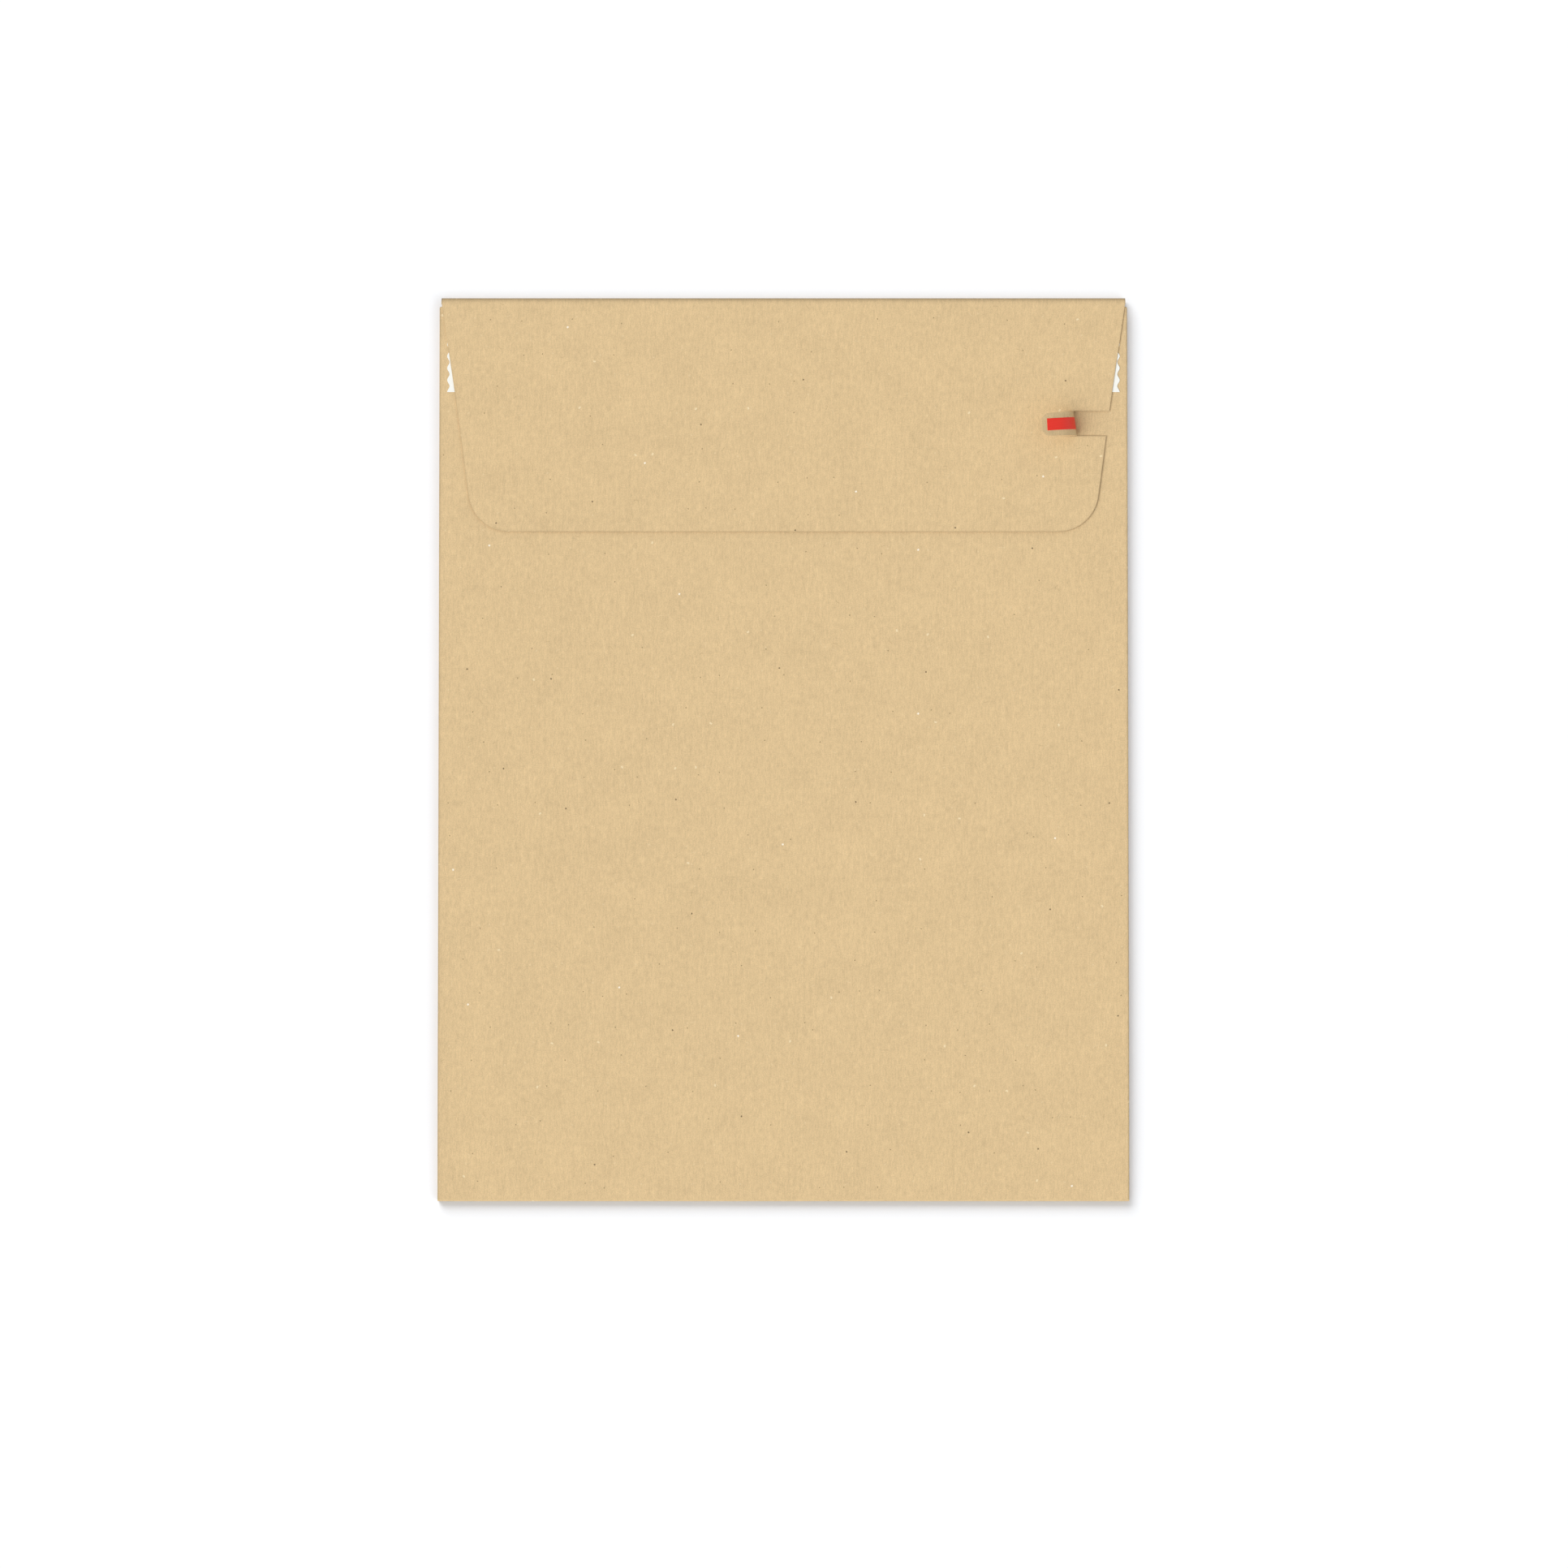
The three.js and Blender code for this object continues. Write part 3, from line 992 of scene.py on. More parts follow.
def flat_places(points: Array, u_start: float, v_start: float, v_sign: float = 1.0) -> Array:
    """Unfolds a grid of points by the lengths along its middle row and column.

    Args:
        points: Grid of points, rows by columns by 3.
        u_start: Flat place of the middle column.
        v_start: Flat place of the first row.
        v_sign: Way in which the rows are counted.

    Returns:
        The flat places, rows by columns by 2.
    """
    rows, columns = points.shape[:2]
    down = np.linalg.norm(np.diff(points[:, columns // 2], axis=0), axis=1)
    v = v_start + v_sign * np.concatenate([[0.0], np.cumsum(down)])
    over = np.linalg.norm(np.diff(points, axis=1), axis=2)
    u = np.concatenate([np.zeros((rows, 1)), np.cumsum(over, axis=1)], axis=1)
    u = u_start + u - u[:, columns // 2, None]
    return np.stack([u, np.broadcast_to(v[:, None], u.shape)], axis=2)


class GeometryTree(Nodes):
    """A geometry node tree under construction.

    Attributes:
        source: The node that gives the tree's inputs.
        sink: The node that takes its output.
    """

    prefix = "GeometryNode"
    others = {
        "Math": "ShaderNode",
        "CombineXYZ": "ShaderNode",
        "SeparateXYZ": "ShaderNode",
        "Compare": "FunctionNode",
    }

    def __init__(self, name: str, sizes: tuple[str, ...], counts: tuple[str, ...]) -> None:
        """Starts a tree and declares its inputs, a material last, and its output.

        Args:
            name: The tree's name.
            sizes: Names of its lengths and shares.
            counts: Names of its whole numbers.
        """
        super().__init__(bpy.data.node_groups.new(name, "GeometryNodeTree"))
        kinds = dict.fromkeys(sizes, "Float") | dict.fromkeys(counts, "Int")
        face = self.tree.interface
        for label, kind in (kinds | {"Material": "Material"}).items():
            face.new_socket(label, in_out="INPUT", socket_type="NodeSocket" + kind)
        face.new_socket("Geometry", in_out="OUTPUT", socket_type="NodeSocketGeometry")
        self.source = self.tree.nodes.new("NodeGroupInput")
        self.sink = self.tree.nodes.new("NodeGroupOutput")

    def given(self, name: str) -> Socket:
        """An input of the tree."""
        return self.source.outputs[name]

    def vector(self, x: object, y: object, z: object) -> Socket:
        """A vector from three values."""
        return self.node("CombineXYZ", {0: x, 1: y, 2: z}).outputs[0]

    def end(self, geometry: Socket, material: Socket) -> None:
        """Ends the tree in Realize Instances and Set Material.

        Args:
            geometry: The geometry that the tree makes.
            material: Its material.
        """
        real = self.node("RealizeInstances", {"Geometry": geometry})
        painted = self.node("SetMaterial", {"Geometry": real.outputs[0], "Material": material})
        self.feed(self.sink.inputs[0], painted.outputs[0])


def grow(name: str, tree: bpy.types.NodeTree, values: dict, base: Vector) -> bpy.types.Object:
    """Runs a geometry node tree and keeps its result as a plain mesh.

    Args:
        name: Name of the piece.
        tree: The node tree.
        values: Values of the tree's inputs, by name.
        base: Where the result's origin goes.

    Returns:
        The new object, at the origin.
    """
    holder = bpy.data.objects.new(name + "_holder", bpy.data.meshes.new(name + "_holder"))
    bpy.context.scene.collection.objects.link(holder)
    modifier = holder.modifiers.new(name, "NODES")
    modifier.node_group = tree
    for item in tree.interface.items_tree:
        if item.item_type == "SOCKET" and item.in_out == "INPUT":
            modifier[item.identifier] = values[item.name]
    graph = bpy.context.evaluated_depsgraph_get()
    mesh = bpy.data.meshes.new_from_object(holder.evaluated_get(graph), depsgraph=graph)
    mesh.name = name
    bpy.data.objects.remove(holder)
    for vertex in mesh.vertices:
        vertex.co += base
    return finish_mesh(name, mesh)


def drape(piece: bpy.types.Object, height: Callable[[Array, Array], Array]) -> None:
    """Lifts each point of a piece by a height that depends on its place.

    Args:
        piece: The piece.
        height: The height for places across and along.
    """
    places = np.zeros(len(piece.data.vertices) * 3)
    piece.data.vertices.foreach_get("co", places)
    places = places.reshape(-1, 3)
    places[:, 2] += height(places[:, 0], places[:, 1])
    piece.data.vertices.foreach_set("co", places.ravel())
    piece.data.update()


@dataclass(frozen=True)
class BeadRows:
    """Rows of laid glue or adhesive, made by Geometry Nodes.

    Attributes:
        length: Length of each row, along X.
        rows: Number of rows.
        pitch: Distance between rows, along Y.
        width: Width of a row.
        height: Height of a row above the surface that it lies on.
        cut: Length of each step along a row.
        film: Thickness of the film under the rows, or 0 for none.
        sides: Points round a row.
    """

    length: float
    rows: int
    pitch: float
    width: float
    height: float
    cut: float
    film: float = 0.0
    sides: int = 10

    def tree(self) -> bpy.types.NodeTree:
        """Builds the node tree, or finds it if it is there.

        Returns:
            The tree.
        """
        name = "bead_rows"
        found = bpy.data.node_groups.get(name)
        if found:
            return found
        sizes = ("Length", "Pitch", "Width", "Height", "Film")
        made = GeometryTree(name, sizes, ("Rows", "Steps"))
        get = made.given
        half = made.math("MULTIPLY", get("Length"), 0.5)
        start = made.vector(made.math("MULTIPLY", half, -1.0), 0.0, 0.0)
        line = made.node("CurvePrimitiveLine", {"Start": start, "End": made.vector(half, 0.0, 0.0)})
        fine = made.node("ResampleCurve", {"Curve": line.outputs[0], "Count": get("Steps")})
        ring = made.node("CurvePrimitiveCircle", {"Resolution": self.sides, "Radius": 0.5})
        scale = made.vector(get("Width"), made.math("MULTIPLY", get("Height"), 2.0), 1.0)
        oval = made.node("Transform", {"Geometry": ring.outputs[0], "Scale": scale})
        bead = made.node(
            "CurveToMesh",
            {"Curve": fine.outputs[0], "Profile Curve": oval.outputs[0], "Fill Caps": True},
        )
        reach = made.math("MULTIPLY", made.math("SUBTRACT", get("Rows"), 1.0), get("Pitch"))
        first = made.vector(0.0, made.math("MULTIPLY", reach, -0.5), 0.0)
        step = made.vector(0.0, get("Pitch"), 0.0)
        places = made.node("MeshLine", {"Count": get("Rows"), "Start Location": first, "Offset": step})
        rows = made.node(
            "InstanceOnPoints", {"Points": places.outputs[0], "Instance": bead.outputs[0]}
        )
        solid = made.node("RealizeInstances", {"Geometry": rows.outputs[0]})
        broad = made.math("MULTIPLY", get("Rows"), get("Pitch"))
        size = made.vector(get("Length"), broad, get("Film"))
        film = made.node(
            "MeshCube",
            {"Size": size, "Vertices X": get("Steps"), "Vertices Y": 2, "Vertices Z": 2},
        )
        shift = made.vector(0.0, 0.0, made.math("MULTIPLY", get("Film"), 0.5))
        raised = made.node("Transform", {"Geometry": film.outputs[0], "Translation": shift})
        both = made.node("JoinGeometry")
        made.feed(both.inputs[0], solid.outputs[0])
        made.feed(both.inputs[0], raised.outputs[0])
        thick = made.node("Compare", {"A": get("Film"), "B": 0.0}, operation="GREATER_THAN")
        pick = made.node("Switch", {"Switch": thick.outputs[0]}, input_type="GEOMETRY")
        made.feed(pick.inputs["False"], solid.outputs[0])
        made.feed(pick.inputs["True"], both.outputs[0])
        made.end(pick.outputs[0], get("Material"))
        return made.tree

    def build(self, name: str, material: bpy.types.Material, base: Vector) -> bpy.types.Object:
        """Makes the rows as a plain mesh.

        Args:
            name: Name of the piece.
            material: Its material.
            base: Middle of the surface that the rows lie on.

        Returns:
            The new object, without relief.
        """
        values = {
            "Length": self.length,
            "Pitch": self.pitch,
            "Width": self.width,
            "Height": self.height,
            "Film": self.film,
            "Rows": self.rows,
            "Steps": max(2, round(self.length / self.cut)),
            "Material": material,
        }
        return grow(name, self.tree(), values, base)


@dataclass
class Assembly:
    """A sub-assembly of the bag.

    Attributes:
        places: Places read from the frame.
        finishes: The bag's materials.
        pieces: Names of the pieces made so far.
    """

    places: Places
    finishes: Finishes
    pieces: list[str] = field(default_factory=list)

    def dress(self, piece: bpy.types.Object, slot: Slot, *nodes: str) -> bpy.types.Object:
        """Gives a piece its material and hides the frame's nodes that it stands for.

        Args:
            piece: The piece.
            slot: Its material slot.
            *nodes: The frame's nodes that it replaces.

        Returns:
            The piece.
        """
        if not piece.data.materials:
            piece.data.materials.append(self.finishes.made[slot])
        if nodes:
            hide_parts(*nodes)
        self.pieces.append(piece.name)
        return piece

    def build(self) -> None:
        """Builds the pieces; each sub-assembly has its own."""
        raise NotImplementedError


@dataclass
class FrontPanel(Assembly):
    """The panel that the bag lies on, with its heel and the side creases that curl up.

    Attributes:
        spacing: Distance between points.
        heel_spacing: The same where the heel steps up.
        curl_steps: Steps round a side crease.
    """

    spacing: float = 5 * MM
    heel_spacing: float = 0.4 * MM
    curl_steps: int = 8

    def build(self) -> None:
        """Builds the front panel as one sheet."""
        places = self.places
        y = places.heel_rows(self.spacing, self.heel_spacing)[:, None]
        half, curl, up = places.side_curl(y, self.curl_steps)
        share = steps(-1, 1, self.spacing / places.bottom_half)
        x = np.concatenate([-curl[:, ::-1], half * share, curl], axis=1)
        rise = np.concatenate([up[::-1], np.zeros(len(share)), up])
        points = grid(x, y, places.front(y) + rise)
        flat = flat_places(points, 0.0, places.inside)
        panel = Sheet("front_sheet", points, flat, places.paper).build()
        self.dress(panel, Slot.KRAFT, "front_panel", "front_panel_heel")
        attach(panel, Body.ROOT.value)


@dataclass
class BottomClosure(Assembly):
    """The lap glued under the front panel, and the bottom crease that it hangs on.

    Attributes:
        spacing: Distance between points across the bag.
        lap_spacing: Distance between points along the lap.
        crease_steps: Steps round each of the crease's two bends.
        grain_start: Place of the lap's end in the paper's grain.
        wear_and_shade: How rubbed the upper bend is.
        wear_width: Width of the rubbed line.
        glue_rows: Rows of glue.
        glue_width: Width of a row.
        glue_step: Length of each step along a row.
    """

    spacing: float = 5 * MM
    lap_spacing: float = 3 * MM
    crease_steps: int = 7
    grain_start: float = -0.3
    wear_and_shade: float = 0.2
    wear_width: float = 1.0 * MM
    glue_rows: int = 5
    glue_width: float = 3.2 * MM
    glue_step: float = 6 * MM

    def build(self) -> None:
        """Builds the lap with its crease, and the rows of glue above it."""
        places = self.places
        lap_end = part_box("bottom_lap")[1].y
        radius = places.crease_radius
        centre_y = places.crease_y
        flat_y = steps(lap_end, centre_y, self.lap_spacing)[:-1]
        turn = np.linspace(0, math.pi / 2, self.crease_steps + 1)
        bend_y = centre_y - radius * np.sin(turn)
        y = np.concatenate([flat_y, bend_y, bend_y[::-1]])
        z = np.concatenate([np.full(len(flat_y), places.front_z),
                            places.front_z + radius * (1 - np.cos(turn)),
                            places.pinch_z - radius * (1 - np.cos(turn[::-1]))])
        share = steps(-1, 1, self.spacing / places.bottom_half)[::-1]
        x = places.half_width(y)[:, None] * share
        points = grid(x, y[:, None], z[:, None])
        flat = flat_places(points, 0.0, self.grain_start, -1.0)
        path = np.concatenate([[0.0], np.cumsum(np.hypot(np.diff(y), np.diff(z)))])
        away = path - path[-1] + math.pi * radius / 4
        wear_and_shade = self.wear_and_shade * line_mark(away, self.wear_width)[:, None] * np.ones_like(x)
        lap = Sheet("bottom_lap_sheet", points, flat, places.paper, wear_and_shade).build()
        self.dress(lap, Slot.KRAFT, "bottom_lap", "bottom_fold")
        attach(lap, Body.ROOT.value)
        self.glue()

    def glue(self) -> None:
        """Builds the rows of dried glue between the lap and the heel."""
        low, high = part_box("bottom_glue")
        beads = BeadRows(
            length=high.x - low.x,
            rows=self.glue_rows,
            pitch=(high.y - low.y) / self.glue_rows,
            width=self.glue_width,
            height=high.z - low.z,
            cut=self.glue_step,
        )
        centre = Vector(((low.x + high.x) / 2, (low.y + high.y) / 2, low.z))
        piece = beads.build("bottom_glue_rows", self.finishes.made[Slot.GLUE], centre)
        self.dress(piece, Slot.GLUE, "bottom_glue")
        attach(piece, Body.ROOT.value)


@dataclass
class Gusset(Assembly):
    """One side gusset: a sheet folded in from the front crease to the back crease.

    Attributes:
        side: Side of the bag.
        stack: Thickness of the sheets between the gusset and the back panel.
        spacing: Distance between points along the bag.
        heel_spacing: The same where the heel steps up.
        half_steps: Steps across each half.
        fold_steps: Steps round the inner fold.
        fold_radius: Radius of the inner fold.
        bow: How far each half bows up.
        grain_start: Place of the gussets' middle in the paper's grain.
        grain_shift: Distance of each gusset's grain from it.
        wear_and_shade: How rubbed the inner fold is.
        held: Pitches over which the gusset would stay with the panel next to it; not used.
    """

    side: Side = Side.RIGHT
    stack: float = 0.0
    spacing: float = 6 * MM
    heel_spacing: float = 0.5 * MM
    half_steps: int = 12
    fold_steps: int = 8
    fold_radius: float = 0.15 * MM
    bow: float = 0.35 * MM
    grain_start: float = 0.6
    grain_shift: float = 0.2
    wear_and_shade: float = 0.7
    held: float = 2.5

    def section(self, y: Array) -> tuple[Array, Array]:
        """The gusset's section at each y, as distances from the middle and heights.

        Args:
            y: Places along the bag, as a column.

        Returns:
            Distances across and heights, each rows by columns.
        """
        places = self.places
        outer = places.half_width(y) - places.curl - places.paper / 2
        low = places.front(y) + places.sheet_pitch
        high = places.back(y) - self.stack - places.sheet_pitch
        fold = self.fold_radius
        middle = (places.front(y) + places.back(y)) / 2
        inner = places.half_width(y) - places.gusset_depth + fold + places.paper / 2
        slack = smooth((high - low) / places.back_z) * self.bow
        share = np.linspace(0, 1, self.half_steps + 1)
        bulge = slack * np.sin(math.pi * share)
        half = outer + (inner - outer) * share
        lower = low + (middle - fold - low) * share + bulge
        upper = high + (middle + fold - high) * share + bulge
        turn = np.linspace(0, math.pi, self.fold_steps + 1)[1:-1]
        x = np.concatenate([half, inner - fold * np.sin(turn), half[:, ::-1]], axis=1)
        z = np.concatenate([lower, middle - fold * np.cos(turn), upper[:, ::-1]], axis=1)
        return x, z

    def build(self) -> None:
        """Builds the gusset's sheet, which bends from the front to the back panel."""
        places = self.places
        name = self.side.name.lower() + "_gusset"
        y = places.heel_rows(self.spacing, self.heel_spacing)[:, None]
        x, z = self.section(y)
        points = grid(self.side.value * x, y, z)
        grain = self.grain_start + self.grain_shift * self.side.value
        flat = flat_places(points, grain, places.inside)
        wear_and_shade = np.zeros_like(x)
        first = wear_and_shade.shape[1] // 2 - self.fold_steps // 2
        wear_and_shade[:, first : first + self.fold_steps + 1] = self.wear_and_shade
        sheet = Sheet(name + "_sheet", points, flat, places.paper, wear_and_shade).build()
        self.dress(sheet, Slot.KRAFT, name + "_lower", name + "_upper")
        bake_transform(sheet)


@dataclass
class BackPanel(Assembly):
    """The back panel with its toe, its right side crease, and the side seam at its left edge.

    Attributes:
        spacing: Distance between points.
        toe_spacing: The same at the toe.
        toe_reach: Length of the toe.
        curl_steps: Steps round the side crease.
        wear_and_shade: How rubbed the panel is at the bottom crease.
        wear_width: Width of the rubbed line.
        shade_width: Width of the painted shade line along each side edge.
        grain_start: Place of the panel's middle in the paper's grain.
        lap_grain_start: The same for the seam's lap.
        lap_points: Points across the flat part of the lap.
        glue_rows: Rows of glue.
        glue_margin: Distance of the glue from the lap's ends and from the edge.
        glue_width: Width of a row.
        glue_height: Height of a row.
        glue_step: Length of each step along a row.
    """

    spacing: float = 4 * MM
    toe_spacing: float = 1 * MM
    toe_reach: float = 6 * MM
    curl_steps: int = 8
    wear_and_shade: float = 0.1
    wear_width: float = 0.9 * MM
    shade_width: float = 0.6 * MM
    grain_start: float = 1.4
    lap_grain_start: float = 2.0
    lap_points: int = 5
    glue_rows: int = 4
    glue_margin: float = 2 * MM
    glue_width: float = 2.2 * MM
    glue_height: float = 0.045 * MM
    glue_step: float = 6 * MM

    def rows(self) -> Array:
        """Places along the bag where the sheets have points.

        Returns:
            The places as a column, closer together at the toe.
        """
        crease = self.places.crease_y
        near = crease + self.toe_reach
        to_mouth = self.places.to_mouth(near, self.spacing)
        return np.concatenate([steps(crease, near, self.toe_spacing)[:-1], to_mouth])[:, None]

    def build(self) -> None:
        """Builds the panel, the seam's lap and its glue."""
        self.panel()
        self.seam_lap()
        self.seam_glue()

    def panel(self) -> None:
        """Builds the back panel as one sheet, with the right side crease curled down."""
        places = self.places
        y = self.rows()
        half = places.half_width(y)
        flat_half, curl, down = places.side_curl(y, self.curl_steps)
        share = edge_steps(2 * places.bottom_half, self.spacing)
        x = np.concatenate([(half + flat_half) * share - half, curl], axis=1)
        drop = np.concatenate([np.zeros(len(share)), down])
        points = grid(x, y, places.back(y) - drop + places.relief(x, y))
        flat = flat_places(points, self.grain_start, places.crease_y)
        wear_and_shade = self.wear_and_shade * line_mark(y - places.bottom, self.wear_width)
        # Painted shade: a darker line along each side edge, where the panel rounds over.
        wear_and_shade = wear_and_shade - line_mark(half - np.abs(x), self.shade_width)
        panel = Sheet("back_sheet", points, flat, places.paper, wear_and_shade).build()
        self.dress(panel, Slot.KRAFT, "back_panel", "back_panel_toe")
        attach(panel, Body.BACK.value)

    def seam_lap(self) -> None:
        """Builds the lap inside the left edge, curled down into the left gusset."""
        places = self.places
        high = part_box("side_seam_lap")[1]
        width = high.x + places.half_width(high.y)
        y = self.rows()
        flat_half, curl, down = places.side_curl(y, self.curl_steps)
        inner = places.half_width(y) - width
        share = np.linspace(0, 1, self.lap_points)
        x = np.concatenate([inner + (flat_half - inner) * share, curl], axis=1)
        drop = np.concatenate([np.zeros(len(share)), down])
        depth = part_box("back_panel")[0].z - high.z + places.paper
        points = grid(-x, y, places.back(y) - depth - drop + places.relief(-x, y))
        flat = flat_places(points, self.lap_grain_start, places.crease_y)
        lap = Sheet("side_seam_sheet", points, flat, places.paper).build()
        self.dress(lap, Slot.KRAFT, "side_seam_lap")
        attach(lap, Body.BACK.value)

    def seam_glue(self) -> None:
        """Builds the rows of dried glue between the lap and the panel."""
        places = self.places
        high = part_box("side_seam_glue")[1]
        start = places.bottom + self.glue_margin
        length = places.mouth - start
        width = high.x + places.half_width(high.y) - self.glue_margin
        beads = BeadRows(
            length=length,
            rows=self.glue_rows,
            pitch=width / self.glue_rows,
            width=self.glue_width,
            height=self.glue_height,
            cut=self.glue_step,
        )
        piece = beads.build("side_seam_glue_rows", self.finishes.made[Slot.GLUE], Vector())
        self.turn_along(piece, start + length / 2, width / 2 + self.glue_margin)
        middle = places.back_z - (high.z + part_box("back_panel")[0].z) / 2 + places.paper / 4
        drape(piece, lambda x, y: places.back(y) - middle + places.relief(x, y))
        self.dress(piece, Slot.GLUE, "side_seam_glue")
        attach(piece, Body.BACK.value)

    def turn_along(self, piece: bpy.types.Object, middle_y: float, inset: float) -> None:
        """Turns rows along X into rows along the left edge.

        Args:
            piece: The rows, about the origin.
            middle_y: Middle of their length.
            inset: Distance of their middle from the edge.
        """
        for vertex in piece.data.vertices:
            x, y, z = vertex.co
            along = middle_y + x
            vertex.co = (-self.places.half_width(along) + inset - y, along, z)


@dataclass(frozen=True)
class PinkedPaper:
    """A strip of release paper with waved ends, made by Geometry Nodes.

    Attributes:
        half: Half of its length, to the tips of the waves.
        far: Y of the edge that the waves start from.
        height: Width of the strip, along Y.
        thickness: Thickness of the paper.
        period: Length of a wave.
        wave: Height of a wave.
        cut: Length of each step along the strip.
        fine: Length of each step along a waved end.
        hold: Power that keeps the waves to the ends of the strip.
    """

    half: float
    far: float
    height: float
    thickness: float
    period: float = 6.05 * MM
    wave: float = 1.2 * MM
    cut: float = 4 * MM
    fine: float = 0.4 * MM
    hold: float = 24.0

    def tree(self) -> bpy.types.NodeTree:
        """Builds the node tree, or finds it if it is there.

        Returns:
            The tree.
        """
        name = "pinked_paper"
        found = bpy.data.node_groups.get(name)
        if found:
            return found
        sizes = ("Half Length", "Height", "Thickness", "Period", "Wave", "Hold")
        made = GeometryTree(name, sizes, ("Columns", "Rows"))
        get = made.given
        length = made.math("MULTIPLY", get("Half Length"), 2.0)
        size = made.vector(length, get("Height"), get("Thickness"))
        slab = made.node(
            "MeshCube",
            {"Size": size, "Vertices X": get("Columns"), "Vertices Y": get("Rows"), "Vertices Z": 2},
        )
        place = made.node("SeparateXYZ", {0: made.node("InputPosition").outputs[0]})
        up = made.math("MULTIPLY_ADD", get("Height"), 0.5, place.outputs[1])
        turn = made.math("MULTIPLY", made.math("DIVIDE", up, get("Period")), math.tau)
        trough = made.math("SUBTRACT", 1.0, made.math("COSINE", turn))
        depth = made.math("MULTIPLY", made.math("MULTIPLY", trough, get("Wave")), -0.5)
        share = made.math("DIVIDE", place.outputs[0], get("Half Length"))
        edge = made.math("POWER", made.math("ABSOLUTE", share), get("Hold"))
        push = made.math("MULTIPLY", made.math("MULTIPLY", edge, made.math("SIGN", share)), depth)
        moved = made.node(
            "SetPosition", {"Geometry": slab.outputs[0], "Offset": made.vector(push, 0.0, 0.0)}
        )
        made.end(moved.outputs[0], get("Material"))
        return made.tree

    def build(self, name: str, material: bpy.types.Material, low_z: float) -> bpy.types.Object:
        """Makes the strip as a plain mesh.

        Args:
            name: Name of the piece.
            material: Its material.
            low_z: Height of its lower face.

        Returns:
            The new object, without relief.
        """
        values = {
            "Half Length": self.half,
            "Height": self.height,
            "Thickness": self.thickness,
            "Period": self.period,
            "Wave": self.wave,
            "Hold": self.hold,
            "Columns": round(2 * self.half / self.cut),
            "Rows": round(self.height / self.fine),
            "Material": material,
        }
        base = Vector((0.0, self.far + self.height / 2, low_z + self.thickness / 2))
        return grow(name, self.tree(), values, base)


@dataclass
class StickyStrip(Assembly):
    """A sticky strip under its release paper, on the back panel or on the flap.

    Attributes:
        adhesive_node: The frame's node of the adhesive.
        liner_node: The frame's node of the release paper.
        body: The body that the adhesive is laid on.
        liner_body: The body of the release paper.
        faces_up: True on the back panel, False under the flap.
        rib_count: Ribs across the strip.
        rib_share: Width of a rib as a share of their pitch.
        rib_step: Length of each step along a rib.
        film_share: Share of the strip's height that is its film.
        lift: Relief of the sheet that the strip is laid on.
    """

    adhesive_node: str = "return_adhesive"
    liner_node: str = "return_liner"
    body: Body = Body.BACK
    liner_body: Body = Body.RETURN_LINER
    faces_up: bool = True
    rib_count: int = 16
    rib_share: float = 0.7
    rib_step: float = 4 * MM
    film_share: float = 0.5
    lift: Callable[[Array, Array], Array] | None = None

    def __post_init__(self) -> None:
        """Takes the back panel's relief where no other is given."""
        self.lift = self.lift or self.places.relief

    def build(self) -> None:
        """Builds the ribbed adhesive and the release paper over it."""
        low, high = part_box(self.adhesive_node)
        height = high.z - low.z
        pitch = (high.y - low.y) / self.rib_count
        ribs = BeadRows(
            length=high.x - low.x,
            rows=self.rib_count,
            pitch=pitch,
            width=pitch * self.rib_share,
            height=height,
            film=height * self.film_share,
            cut=self.rib_step,
        )
        base = Vector(((low.x + high.x) / 2, (low.y + high.y) / 2, 0.0))
        name = self.adhesive_node + "_ribs"
        strip = ribs.build(name, self.finishes.made[Slot.ADHESIVE], base)
        ground = low.z if self.faces_up else high.z
        way = 1 if self.faces_up else -1
        self.seat(strip, ground, way)
        self.dress(strip, Slot.ADHESIVE, self.adhesive_node)
        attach(strip, self.body.value)
        self.liner()

    def seat(self, strip: bpy.types.Object, ground: float, way: int) -> None:
        """Cuts the rows off at the sheet they lie on, and turns them over under the flap.

        Args:
            strip: The rows, on height 0.
            ground: Height of the sheet's face.
            way: 1 if the strip faces up, -1 if it faces down.
        """
        bm = bmesh.new()
        bm.from_mesh(strip.data)
        for vertex in bm.verts:
            held = max(vertex.co.z, 0.0)
            vertex.co.z = ground + way * held
        if way < 0:
            bmesh.ops.reverse_faces(bm, faces=bm.faces)
        bm.to_mesh(strip.data)
        bm.free()
        drape(strip, self.lift)

    def liner(self) -> None:
        """Builds the release paper."""
        low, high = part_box(self.liner_node)
        half = high.x - self.places.inset
        paper = PinkedPaper(half=half, far=low.y, height=high.y - low.y, thickness=high.z - low.z)
        name = self.liner_node + "_paper"
        piece = paper.build(name, self.finishes.made[Slot.RELEASE], low.z)
        drape(piece, self.lift)
        self.dress(piece, Slot.RELEASE, self.liner_node)
        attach(piece, self.liner_body.value)


